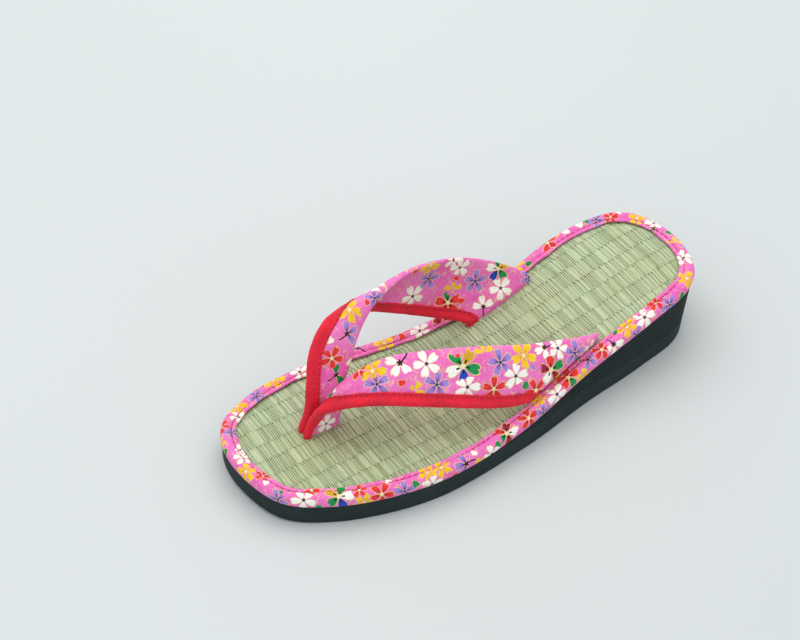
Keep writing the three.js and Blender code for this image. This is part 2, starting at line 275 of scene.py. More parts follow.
def make_piece(name, points, faces, finish, stands_for=(), maps=None):
    """One finished piece: points in mm, faces as an integer array, and for each named map a pair of
    numbers per point or per face corner."""
    mesh = bpy.data.meshes.new(name)
    mesh.vertices.add(len(points))
    mesh.vertices.foreach_set("co", (points * MM).astype(np.float32).ravel())
    mesh.loops.add(faces.size)
    mesh.loops.foreach_set("vertex_index", faces.astype(np.int32).ravel())
    mesh.polygons.add(len(faces))
    starts = np.arange(len(faces)) * faces.shape[1]
    mesh.polygons.foreach_set("loop_start", starts.astype(np.int32))
    mesh.polygons.foreach_set("use_smooth", np.ones(len(faces), bool))
    for label, values in (maps or {}).items():
        corners = values[faces] if values.ndim == 2 else values
        mesh.uv_layers.new(name=label).data.foreach_set("uv", corners.astype(np.float32).ravel())
    mesh.materials.append(finish)
    mesh.update(calc_edges=True)
    mesh.validate()
    piece = bpy.data.objects.new(name, mesh)
    bpy.context.scene.collection.objects.link(piece)
    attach(piece, "root")
    if stands_for:
        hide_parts(*stands_for)
    return piece


def used_only(points, faces, *tables):
    """Leaves out the points that no face uses: (points, faces, each table of values per point)."""
    used, index = np.unique(faces, return_inverse=True)
    return points[used], index.reshape(faces.shape), *(table[used] for table in tables)


def weld(piece):
    """Joins points that lie within a thousandth of a millimetre and drops what that closes up."""
    shape = bpy.data.meshes[piece.data.name]
    work = bmesh.new()
    work.from_mesh(shape)
    bmesh.ops.remove_doubles(work, verts=work.verts, dist=MM / 1000)
    bmesh.ops.dissolve_degenerate(work, edges=work.edges, dist=MM / 1000)
    work.to_mesh(shape)
    work.free()


# ---- finishes ----

def linear(hex_colour):
    """sRGB hex to the linear colour the shader takes: the standard two-part curve."""
    channels = [int(hex_colour[k:k + 2], 16) / 255 for k in (1, 3, 5)]
    return [*(c / 12.92 if c <= 0.04045 else ((c + 0.055) / 1.055) ** 2.4 for c in channels), 1.0]


def add(tree, kind, *inputs, stops=None, fade="LINEAR", **more):
    """Adds one node. Inputs, by place or by their capitalised name, are sockets, nodes (their first
    output) or values; other names are the node's settings; stops are a ramp's (place, colour) pairs."""
    node = tree.nodes.new("ShaderNode" + kind)
    for name in [name for name in more if name[0].islower()]:
        setattr(node, name, more.pop(name))
    for key, value in [*enumerate(inputs), *more.items()]:
        if isinstance(value, bpy.types.Node):
            value = value.outputs[0]
        if isinstance(value, bpy.types.NodeSocket):
            tree.links.new(value, node.inputs[key])
        else:
            node.inputs[key].default_value = value
    if stops:
        node.color_ramp.interpolation = fade
        elements = node.color_ramp.elements
        elements.remove(elements[-1])
        elements[0].position, elements[0].color = stops[0]
        for place, colour in stops[1:]:
            elements.new(place).color = colour
    return node


def new_finish(name, roughness, **settings):
    """An empty material with its shader: (material, node tree, shader)."""
    material = bpy.data.materials.new(name)
    material.use_nodes = True
    tree = material.node_tree
    shader = tree.nodes["Principled BSDF"]
    shader.inputs["Roughness"].default_value = roughness
    for socket, value in settings.items():
        shader.inputs[socket.replace("_", " ")].default_value = value
    return material, tree, shader


def dress(tree, shader, colour, height, strength, depth):
    """Links a colour to the shader, and a bump of the given height field, strength and depth."""
    bump = add(tree, "Bump", Strength=strength, Distance=depth, Height=height)
    tree.links.new(colour.outputs[0], shader.inputs["Base Color"])
    tree.links.new(bump.outputs[0], shader.inputs["Normal"])


def foam_finish(name, light, dark):
    """Closed-cell EVA foam sheet, die cut and lightly buffed: matt slate green, with fine pores and
    faint cutting streaks along the floor. Painted shade: the colour goes towards near black in the
    recesses between the wall's ribs, as far as the shade map of each piece says."""
    material, tree, shader = new_finish(name, 0.72, IOR=1.35)
    place = add(tree, "TexCoord").outputs["Object"]
    streaks = add(tree, "Mapping", place, Scale=(120, 120, 2600))
    streak = add(tree, "TexNoise", streaks, Scale=1.0, Detail=3.0, Roughness=0.6)
    pores = add(tree, "TexNoise", place, Scale=1700.0, Detail=2.0)
    blotch = add(tree, "TexNoise", place, Scale=45.0, Detail=4.0)
    mixed = add(tree, "Math", streak, blotch, operation="ADD")
    mixed = add(tree, "Math", mixed, pores, operation="ADD")
    share = add(tree, "Math", mixed, 1 / 3, operation="MULTIPLY")
    colour = add(tree, "ValToRGB", share, stops=[(0.36, linear(dark)), (0.62, linear(light))])
    # painted shade: the groove map darkens the grooves between the ribs towards near black
    groove_and_painted_shade = add(tree, "SeparateXYZ", add(tree, "UVMap", uv_map="groove_and_painted_shade")).outputs["X"]
    colour = add(tree, "MixRGB", groove_and_painted_shade, colour, linear("#070B0B"))
    dress(tree, shader, colour, share, 0.35, 0.2 * MM)
    return material


def rush_finish():
    """Dried rush strands woven on hemp warps: pale green to straw, each strand its own tint between
    two warps, painted shade in brown-green in the gaps, darker where they are deeper, dark warp
    thread where a warp shows, with fine fibres along the strand and a soft waxy sheen."""
    material, tree, shader = new_finish("dried_rush_weave", 0.52, IOR=1.45)
    strand = add(tree, "UVMap", uv_map="strand")
    gap_shade_and_warp = add(tree, "SeparateXYZ", add(tree, "UVMap", uv_map="gap_shade_and_warp"))
    index = add(tree, "VectorMath", strand, operation="FLOOR")
    own = add(tree, "TexWhiteNoise", index, noise_dimensions="2D")
    line = add(tree, "SeparateXYZ", index)
    whole = add(tree, "TexWhiteNoise", W=line.outputs["Y"], noise_dimensions="1D")
    tint = add(tree, "ValToRGB", whole, stops=[
        (0.0, linear("#B4C6A0")), (0.3, linear("#C6D6B2")), (0.55, linear("#CDDCB8")),
        (0.8, linear("#D4DEBA")), (0.93, linear("#C8D8B8")), (1.0, linear("#DCD0B8"))])
    tone = add(tree, "ValToRGB", own, stops=[
        (0.0, linear("#A9BC94")), (0.35, linear("#C8D6B2")), (0.7, linear("#D4DFBE")),
        (1.0, linear("#EEF2DA"))])
    colour = add(tree, "MixRGB", 0.4, tint, tone)
    place = add(tree, "TexCoord").outputs["Object"]
    fibres = add(tree, "Mapping", place, Scale=(160, 3600, 3600))
    fibre = add(tree, "TexNoise", fibres, Scale=1.0, Detail=3.0, Roughness=0.65)
    patch = add(tree, "TexNoise", place, Scale=38.0, Detail=3.0)
    worn = add(tree, "ValToRGB", patch, stops=[(0.35, linear("#F4F6EE")), (0.7, linear("#F2EAD6"))])
    colour = add(tree, "MixRGB", 0.8, colour, worn, blend_type="MULTIPLY")
    grain = add(tree, "ValToRGB", fibre, stops=[(0.3, linear("#C9CFB4")), (0.6, linear("#FFFFFF"))])
    colour = add(tree, "MixRGB", 0.7, colour, grain, blend_type="MULTIPLY")
    # painted shade: the gaps between strands are darkened towards brown-green, the more the deeper the gap
    shade = add(tree, "MixRGB", gap_shade_and_warp.outputs["X"], colour, linear("#2F3620"))
    pinned = add(tree, "MixRGB", gap_shade_and_warp.outputs["Y"], shade, linear("#2E2C1C"))
    dress(tree, shader, pinned, fibre, 0.5, 0.15 * MM)
    return material


def thread_finish(name, colour, roughness):
    """Spun polyester sewing thread or cotton tape: even colour with a fine twist, soft sheen."""
    material, tree, shader = new_finish(name, roughness, Sheen_Weight=0.06, Sheen_Roughness=0.5)
    place = add(tree, "TexCoord").outputs["Object"]
    weave = add(tree, "TexNoise", place, Scale=1300.0, Detail=2.0)
    blotch = add(tree, "TexNoise", place, Scale=90.0, Detail=3.0)
    share = add(tree, "Math", weave, blotch, operation="MULTIPLY")
    dark = [c * 0.62 for c in linear(colour)[:3]] + [1.0]
    tint = add(tree, "ValToRGB", share, stops=[(0.1, dark), (0.32, linear(colour))])
    dress(tree, shader, tint, weave, 0.4, 0.2 * MM)
    return material


WHITE, GOLD, RED, LILAC = "#FFFCF4", "#FBCB1E", "#EE3330", "#A987D8"
GREEN, ROYAL, OCHRE, CRIMSON = "#14914A", "#2340B8", "#D9A32A", "#A3142E"
NAVY, CREAM, BLACK = "#1F3F7A", "#F7E9B8", "#1A1014"

BLOSSOM_GROWTH = 1.13  # how much larger the motifs are than their charted radius
PETALS = 5

# Motifs of the print. Five petals, the first along the motif's own axis, the rest anticlockwise
# (None: no petal there); petal colour at its foot, or None; eye colour; petal half-width as a share
# of the motif's radius; 1 if it has black stamens; 1 if it has a black stem opposite the first petal.
MOTIFS = {
    "white": ((WHITE,) * PETALS, None, NAVY, 0.25, 0, 0),
    "gold": ((GOLD,) * PETALS, "#E9A51A", CREAM, 0.25, 0, 0),
    "red": ((RED,) * PETALS, "#C41E22", CREAM, 0.24, 0, 0),
    "lilac": ((LILAC,) * PETALS, "#5B2F9C", NAVY, 0.24, 0, 0),
    "bouquet": ((ROYAL, GREEN, OCHRE, GREEN, WHITE), None, CREAM, 0.27, 1, 0),
    "festive": ((WHITE, CRIMSON, GREEN, RED, CRIMSON), None, CREAM, 0.27, 1, 0),
    "clover": ((GREEN, RED, RED, RED, RED), None, CREAM, 0.27, 1, 0),
    "white_sprig": ((WHITE, WHITE, None, None, WHITE), None, BLACK, 0.25, 0, 1),
    "lilac_sprig": ((LILAC, LILAC, None, None, LILAC), "#5B2F9C", BLACK, 0.24, 0, 1),
    "leaf_sprig": ((None, GREEN, None, None, GREEN), None, BLACK, 0.27, 0, 1),
    "red_petal": ((RED, None, None, None, None), None, None, 0.3, 0, 0),
    "white_petal": ((WHITE, None, None, None, None), None, None, 0.34, 0, 0),
    "lilac_petal": ((LILAC, None, None, None, None), None, None, 0.28, 0, 0),
    "leaf": ((GREEN, None, None, None, None), None, None, 0.34, 0, 0),
    "bud": ((GOLD, GOLD, None, None, GOLD), None, None, 0.22, 0, 0),
}

# Measures of a motif, in units of its radius.
PETAL_MIDDLE = 0.57
PETAL_HALF_LENGTH = 0.43
NOTCH_BOTTOM = 0.85  # the V notch in a petal's tip
NOTCH_SLOPE = 1.3
NOTCH_CRISPNESS = 6.0
OUTLINE_REACH = 1.3  # the gold outline's edge, on a scale where the petal's edge is 1
STAMEN_MIDDLE, STAMEN_HALF_LENGTH, STAMEN_HALF_WIDTH = 0.3, 0.11, 0.05
STEM_LENGTH, STEM_HALF_WIDTH, STEM_SWAY, STEM_WAVES = 0.85, 0.055, 0.13, 2.6
FORK_LENGTH, FORK_HALF_WIDTH = 0.24, 0.06  # short stalks from the stem to each petal of a sprig
EYE_RADIUS = 0.13

# Arithmetic of the print. Each row has the result's name, the operation and its inputs, which are
# numbers or earlier results; a name that comes again is worked on further. Here: which petal a
# place belongs to, how far along that petal and aside of its axis it is, and its place in the list.
PLACE_STEPS = [
    ("angle", "ARCTAN2", "y", "x"),
    ("turns", "MULTIPLY_ADD", "angle", PETALS / FULL_TURN, PETALS + 0.5),
    ("whole", "FLOOR", "turns"),
    ("petal", "FLOORED_MODULO", "whole", PETALS),
    ("off", "FRACT", "turns"),
    ("off", "SUBTRACT", "off", 0.5),
    ("off", "MULTIPLY", "off", FULL_TURN / PETALS),
    ("along", "COSINE", "off"),
    ("along", "MULTIPLY", "reach", "along"),
    ("aside", "SINE", "off"),
    ("aside", "MULTIPLY", "reach", "aside"),
    ("aside", "ABSOLUTE", "aside"),
    ("petal_row", "MULTIPLY_ADD", "motif", PETALS, "petal"),
    ("petal_row", "ADD", "petal_row", 0.5),
    ("petal_row", "MULTIPLY", "petal_row", 1 / (PETALS * len(MOTIFS))),
    ("motif_row", "ADD", "motif", 0.5),
    ("motif_row", "MULTIPLY", "motif_row", 1 / len(MOTIFS)),
]
# A petal is an oval, wider towards its tip, which the notch cuts; then stamens, stem, fork and eye.
SHAPE_STEPS = [
    ("length", "SUBTRACT", "along", PETAL_MIDDLE),
    ("length", "MULTIPLY", "length", 1 / PETAL_HALF_LENGTH),
    ("length", "POWER", "length", 2.0),
    ("spread", "MULTIPLY_ADD", "along", 0.9, 0.5),
    ("spread", "MULTIPLY", "spread", "wide"),
    ("breadth", "DIVIDE", "aside", "spread"),
    ("breadth", "POWER", "breadth", 2.0),
    ("oval", "ADD", "length", "breadth"),
    ("notch", "MULTIPLY_ADD", "aside", -NOTCH_SLOPE, "along"),
    ("notch", "SUBTRACT", "notch", NOTCH_BOTTOM - 1 / NOTCH_CRISPNESS),
    ("notch", "MULTIPLY", "notch", NOTCH_CRISPNESS),
    ("shape", "MAXIMUM", "oval", "notch"),
    ("inside", "LESS_THAN", "shape", 1.0),
    ("inside", "MULTIPLY", "inside", "present"),
    ("outline", "LESS_THAN", "shape", OUTLINE_REACH),
    ("outline", "MULTIPLY", "outline", "present"),
    ("ends", "COMPARE", "along", STAMEN_MIDDLE, STAMEN_HALF_LENGTH),
    ("stamen", "LESS_THAN", "aside", STAMEN_HALF_WIDTH),
    ("stamen", "MULTIPLY", "stamen", "ends"),
    ("stamen", "MULTIPLY", "stamen", "stamened"),
    ("stem", "MULTIPLY", "x", STEM_WAVES),
    ("stem", "SINE", "stem"),
    ("stem", "MULTIPLY_ADD", "stem", STEM_SWAY, "y"),
    ("stem", "COMPARE", "stem", 0.0, STEM_HALF_WIDTH),
    ("ends", "LESS_THAN", "x", 0.05),
    ("stem", "MULTIPLY", "stem", "ends"),
    ("ends", "LESS_THAN", "reach", STEM_LENGTH),
    ("stem", "MULTIPLY", "stem", "ends"),
    ("fork", "LESS_THAN", "aside", FORK_HALF_WIDTH),
    ("ends", "LESS_THAN", "reach", FORK_LENGTH),
    ("fork", "MULTIPLY", "fork", "ends"),
    ("stem", "MAXIMUM", "stem", "fork"),
    ("stem", "MULTIPLY", "stem", "stemmed"),
    ("eye", "LESS_THAN", "reach", EYE_RADIUS),
    ("eye", "MULTIPLY", "eye", "eyed"),
]


def grey(value):
    """The colour that arithmetic reads as the given number."""
    return [float(value)] * 3 + [1.0]


def runs(values):
    """Ramp stops for a list of values at equal steps, one stop wherever the value changes."""
    stops = []
    for place, value in enumerate(values):
        if not stops or stops[-1][1] != value:
            stops.append((place / len(values), value))
    return stops


def motif_looks():
    """What each ramp of the print looks up: by its name, the row that it reads and the values along
    it. A petal that is missing has its motif's colour and is hidden by "present"."""
    petals, feet, eyes, widths, stamens, stems = zip(*MOTIFS.values())
    each = [(petal, next(filter(None, group))) for group in petals for petal in group]
    return {
        "petal_colour": ("petal_row", [linear(petal or own) for petal, own in each]),
        "present": ("petal_row", [grey(petal is not None) for petal, _ in each]),
        "foot_colour": ("motif_row", [linear(foot or WHITE) for foot in feet]),
        "footed": ("motif_row", [grey(foot is not None) for foot in feet]),
        "eye_colour": ("motif_row", [linear(eye or WHITE) for eye in eyes]),
        "eyed": ("motif_row", [grey(eye is not None) for eye in eyes]),
        "wide": ("motif_row", [grey(width) for width in widths]),
        "stamened": ("motif_row", [grey(flag) for flag in stamens]),
        "stemmed": ("motif_row", [grey(flag) for flag in stems]),
    }


def print_finish():
    """Screen-printed plain-weave cotton: pink ground with broken gold lines, blossoms with notched
    petals outlined in gold, matt with a faint sheen. The maps give each face its own motif: place
    within the motif in units of its radius, and the motif's row in the list above."""
    material, tree, shader = new_finish("printed_cotton_blossoms", 0.85, Sheen_Weight=0.08,
                                        Sheen_Roughness=0.5, IOR=1.46)
    here = add(tree, "UVMap", uv_map="petal")
    xy = add(tree, "SeparateXYZ", here)
    motif = add(tree, "SeparateXYZ", add(tree, "UVMap", uv_map="motif"))
    reach = add(tree, "VectorMath", here, operation="LENGTH")
    made = {"x": xy.outputs["X"], "y": xy.outputs["Y"], "motif": motif.outputs["X"],
            "reach": reach.outputs["Value"]}
    for name, operation, *inputs in PLACE_STEPS:
        made[name] = add(tree, "Math", *[made.get(i, i) for i in inputs], operation=operation)
    for name, (row, values) in motif_looks().items():
        made[name] = add(tree, "ValToRGB", made[row], stops=runs(values), fade="CONSTANT")
    for name, operation, *inputs in SHAPE_STEPS:
        made[name] = add(tree, "Math", *[made.get(i, i) for i in inputs], operation=operation)

    place = add(tree, "TexCoord").outputs["Object"]
    cotton = add(tree, "TexNoise", place, Scale=1100.0, Detail=3.0)
    wash = add(tree, "TexNoise", place, Scale=60.0, Detail=3.0)
    colour = add(tree, "ValToRGB", wash, stops=[(0.35, linear("#F068BA")), (0.65, linear("#F67FC8"))])
    net = add(tree, "TexVoronoi", place, Scale=400.0, feature="DISTANCE_TO_EDGE")
    net = add(tree, "Math", net, 0.05, operation="LESS_THAN")
    broken = add(tree, "TexNoise", place, Scale=330.0, Detail=2.0)
    broken = add(tree, "Math", broken, 0.56, operation="GREATER_THAN")
    gold = add(tree, "Math", net, broken, operation="MULTIPLY")
    gold = add(tree, "Math", gold, 0.75, operation="MULTIPLY")
    shaded = add(tree, "ValToRGB", made["reach"], stops=[(0.15, grey(1)), (0.62, grey(0))])
    shaded = add(tree, "Math", shaded, made["footed"], operation="MULTIPLY")
    petals = add(tree, "MixRGB", shaded, made["petal_colour"], made["foot_colour"])
    layers = [(gold, linear("#F3C98A")), (made["outline"], linear("#F0D088")), (made["inside"], petals),
              (made["stamen"], linear(BLACK)), (made["stem"], linear(BLACK)),
              (made["eye"], made["eye_colour"])]
    for share, layer in layers:
        colour = add(tree, "MixRGB", share, colour, layer)
    speck = add(tree, "ValToRGB", cotton, stops=[(0.3, linear("#DDDDDD")), (0.6, linear("#FFFFFF"))])
    colour = add(tree, "MixRGB", 0.6, colour, speck, blend_type="MULTIPLY")
    dress(tree, shader, colour, cotton, 0.35, 0.2 * MM)
    return material


def stamp(coordinates, faces, centres, along, aside, radii, kinds):
    """Gives each face the motif whose centre is nearest in units of its radius, which has grown from
    the charted one. Returns, for each face corner, its place in that motif (projection on the
    motif's two axes over its radius) and the motif's row."""
    radii = radii * BLOSSOM_GROWTH
    middle = coordinates[faces].mean(axis=1)
    order = np.full(len(faces), 0)
    best = np.full(len(faces), np.inf)
    for k in range(len(centres)):
        distance = np.linalg.norm(middle - centres[k], axis=1) / radii[k]
        closer = distance < best
        order[closer], best[closer] = k, distance[closer]
    offset = coordinates[faces] - centres[order][:, None]
    x = np.sum(offset * along[order][:, None], -1) / radii[order][:, None]
    y = np.sum(offset * aside[order][:, None], -1) / radii[order][:, None]
    row = np.repeat(kinds[order][:, None], faces.shape[1], 1)
    return np.stack([x, y], -1), np.stack([row, np.zeros_like(row)], -1)


# ---- sole ----

RING_STEPS = 640  # steps round the footbed's edge
SHEET_CORNER = np.array([  # height above the floor, how far the wall is rounded in there
    (0.0, 0.6), (0.12, 0.22), (0.4, 0.05), (0.7, 0.0), (9.5, 0.0), (9.85, 0.12), (9.97, 0.4)])
SHEET_RIB_PITCH = 1.5
SHEET_RIB_DEPTH = 0.12
WEDGE_RIB_PITCH = 2.4
WEDGE_RIB_DEPTH = 0.55
WEDGE_ROW = 0.3  # height of one row of faces in the wedge's wall
WEDGE_GROOVE = 0.2  # half-width of the groove between two ribs, as a share of their pitch
WEDGE_LIFT = 0.03  # glue line between sheet and wedge


def outsole():
    """The flat sheet: the outline carried up in rows, each moved in by the wall's lean, a rounded
    corner and shallow ribs (a raised cosine of the height), with flat caps across it."""
    ring, outward, _ = edge_ring(RING_STEPS)
    heights = np.concatenate([SHEET_CORNER[:3, 0], np.arange(0.7, 9.5, 0.25), [9.65, 9.85, 9.97]])
    corner = np.interp(heights, SHEET_CORNER[:, 0], SHEET_CORNER[:, 1])
    rib = SHEET_RIB_DEPTH * (0.5 + 0.5 * np.cos(FULL_TURN * heights / SHEET_RIB_PITCH))
    buffed = 0.12 * wander(np.random.default_rng(3), RING_STEPS, 9)
    lift = floor_lift(ring[:, 1])
    z = heights[:, None] + lift[None]
    inset = sole_inset(ring[:, 1][None], z) + (corner + rib)[:, None] + buffed[None]
    plan = ring[None] - outward[None] * inset[..., None]
    points = np.concatenate([plan, z[..., None]], -1).reshape(-1, 3)
    walls = cells(len(heights), RING_STEPS, wrap_columns=True)
    caps = strip_caps(RING_STEPS, (len(heights) - 1) * RING_STEPS)
    faces = facing_out(points, np.concatenate([walls, caps]))
    # painted shade: the troughs between the shallow ribs darken the foam's colour, about a third of the
    # way to near black
    painted_trough_shade = np.clip(0.35 * rib / SHEET_RIB_DEPTH, 0, 1)[:, None] + np.zeros_like(z)
    shade = np.stack([painted_trough_shade, np.zeros_like(z)], -1).reshape(-1, 2)
    return make_piece("outsole", points, faces, foam_finish("eva_sheet_buffed", "#27373A", "#192525"),
                      ["outsole_sheet"], {"groove_and_painted_shade": shade})


def strip_caps(count, top):
    """Closes the first and last ring of a wall: strips that join ring point k to count - k."""
    k = np.arange(count // 2)
    bottom = np.stack([k, (count - k) % count, count - 1 - k, k + 1], -1)
    return np.concatenate([bottom, top + bottom[:, ::-1]])


def wedge():
    """The laminated heel wedge: the rear part of the outline carried up in level rows that stop at
    the sloping top, with a narrow groove (a bell curve) under each rib."""
    ring, outward, _ = edge_ring(RING_STEPS)
    behind = np.flatnonzero(ring[:, 1] > RISE_START_Y + 3)
    ring, outward = ring[behind], outward[behind]
    base = SHEET_THICKNESS + WEDGE_LIFT
    rows = int(HEEL_RISE / WEDGE_ROW) + 2
    level = base + WEDGE_ROW * np.arange(rows)
    top = sole_top(ring[:, 1])
    z = np.minimum(level[:, None], top[None])
    phase = (z - base) / WEDGE_RIB_PITCH
    groove_and_painted_shade = np.exp(-(((phase - np.round(phase)) / WEDGE_GROOVE) ** 2))
    uneven = 1 + 0.35 * wander(np.random.default_rng(5), len(ring), 14)
    buffed = 0.15 * wander(np.random.default_rng(6), len(ring), 7)
    inset = sole_inset(ring[:, 1][None], z) + WEDGE_RIB_DEPTH * groove_and_painted_shade * uneven[None] + buffed[None]
    plan = ring[None] - outward[None] * inset[..., None]
    points = np.concatenate([plan, z[..., None]], -1)
    count = len(ring)
    last = np.minimum(np.ceil((top - base) / WEDGE_ROW).astype(int), rows - 1)
    index = np.minimum(np.arange(rows)[:, None], last[None]) * count + np.arange(count)[None]
    walls = split(index.ravel()[cells(rows, count)])
    k = np.arange(count // 2 - 1)
    # painted shade: the same bell curve darkens the foam's colour in each groove, to near black at its
    # bottom
    shade = np.stack([groove_and_painted_shade, np.zeros_like(groove_and_painted_shade)], -1).reshape(-1, 2)
    caps = []
    for edge in (index[0], index[-1]):
        caps.append(split(np.stack([edge[k], edge[k + 1], edge[count - 2 - k], edge[count - 1 - k]], -1)))
    front = split(np.stack([index[:-1, 0], index[1:, 0], index[1:, -1], index[:-1, -1]], -1))
    faces = np.concatenate([walls, caps[0], caps[1][:, ::-1], front])
    points, faces, shade = used_only(points.reshape(-1, 3), faces, shade)
    finish = foam_finish("eva_wedge_laminated", "#223434", "#121E1E")
    piece = make_piece("wedge", points, facing_out(points, faces), finish, ["heel_wedge"],
                       {"groove_and_painted_shade": shade})
    weld(piece)
    return piece


# ---- footbed ----

STRAND_WIDTHS = (0.85, 1.15)  # a rush strand's width, least and most
MOST_STRANDS = 400
STRAND_PHASES = np.array([0.0, 0.27, 0.5, 0.73])  # lines of points across one strand
STRAND_ARCH = np.array([0.0, 0.85, 1.0, 0.85])  # its section, as a share of the relief
STRAND_RELIEF = 0.55
WARP_SPACING = 9.2
WARP_SHIFT = 0.6  # how far a warp may be from its even place
WARP_HALF = 0.75  # half-width of the pinch at a warp
WARP_DIP = 0.3  # how far a strand goes down where it passes under a warp
AT_WARP = np.array([-1.3, -0.6, 0.0, 0.6, 1.3])  # lines of points by a warp, mm from it
BETWEEN_WARPS = np.array([0.27, 0.39, 0.5, 0.61, 0.73])  # and between two, as shares of the way
DEEP_GAP, SHALLOW_GAP, GAP_SPREAD = 0.75, 0.15, 0.25  # shares of the strands' relief
STRAND_FLOAT = 0.07  # how much strands lie higher or lower between two warps
BINDING_LIP = 7.2  # the mat is tucked under the binding from here, inwards from the outer edge
TUCK = 0.9
TUCK_LENGTH = 3.0
SLOT_HALF = 2.6  # the toe slit, round whose middle line the mat sinks
SLOT_SINK = 0.5


def side_lines(inset):
    """The footbed's two edges at an inset, as x over station: (stations, medial x, lateral x)."""
    ring, outward, _ = edge_ring(1600)
    line = ring - outward * inset
    line = np.roll(line, -int(np.argmin(line[:, 1])), 0)
    tip = int(np.argmax(line[:, 1]))
    lateral, medial = line[:tip + 1], np.vstack([line[tip:], line[:1]])[::-1]
    y = np.linspace(line[:, 1].min(), line[:, 1].max(), 1200)
    return (y, np.interp(y, medial[:, 1], medial[:, 0]), np.interp(y, lateral[:, 1], lateral[:, 0]))


def line_distance(x, y, start, end):
    """Distance in plan from each point to the straight line between two points."""
    way = np.array(end) - np.array(start)
    share = np.clip(((x - start[0]) * way[0] + (y - start[1]) * way[1]) / (way @ way), 0, 1)
    return np.hypot(x - start[0] - share * way[0], y - start[1] - share * way[1])


def strand_rows(rng, stations):
    """Lines of points across the foot, four to a strand of random width: (station, strand, share of
    the way across the strand, height of its rounded section)."""
    widths = rng.uniform(*STRAND_WIDTHS, MOST_STRANDS)
    edges = stations[0] + np.concatenate([[0], np.cumsum(widths)])
    strands = int(np.searchsorted(edges, stations[-1] - 0.6))
    edges = np.append(edges[:strands], stations[-1])
    y = (edges[:-1, None] + np.diff(edges)[:, None] * STRAND_PHASES).ravel()
    y = np.append(y, stations[-1])
    strand = np.append(np.repeat(np.arange(strands), len(STRAND_PHASES)), strands - 1)
    phase = np.append(np.tile(STRAND_PHASES, strands), 1.0)
    return y, strand, phase, np.append(np.tile(STRAND_ARCH, strands), 0.0)


def warp_columns(rng):
    """Warps at nearly even places and the lines of points along the foot: (warps, line places)."""
    warps = np.arange(-49, 52, WARP_SPACING) + rng.uniform(-WARP_SHIFT, WARP_SHIFT, 11)
    between = warps[:-1, None] + np.diff(warps)[:, None] * BETWEEN_WARPS
    return warps, np.sort(np.concatenate([(warps[:, None] + AT_WARP).ravel(), between.ravel()]))


def tucked_down(x, y):
    """How far the mat is pulled down: exponentially towards the binding, smoothly round the slit."""
    stations, medial, lateral = side_lines(BINDING_LIP)
    room = np.minimum(x - np.interp(y, stations, medial), np.interp(y, stations, lateral) - x)
    room = np.minimum(room, np.minimum(y - stations[0], stations[-1] - y))
    slot = line_distance(x, y, (NECK_X, -86.0), (NECK_X, -68.0))
    sunk = SLOT_SINK * (1 - smoothstep((slot - SLOT_HALF) / SLOT_HALF))
    return TUCK * np.exp(-np.maximum(room, 0) / TUCK_LENGTH) + sunk


def closed_below(index, first):
    """Side walls and underside of a height field whose rim is repeated below, from point first on:
    down its first column, across, and up its last."""
    rows = len(index)
    a, b = np.arange(rows - 1), np.arange(1, rows)
    left, right = first + np.arange(rows), first + rows + np.arange(rows)
    sides = [
        np.stack([index[a, 0], index[b, 0], left[b], left[a]], -1),
        np.stack([index[b, -1], index[a, -1], right[a], right[b]], -1),
        np.stack([left[a], left[b], right[b], right[a]], -1),
    ]
    return [split(side) for side in sides]


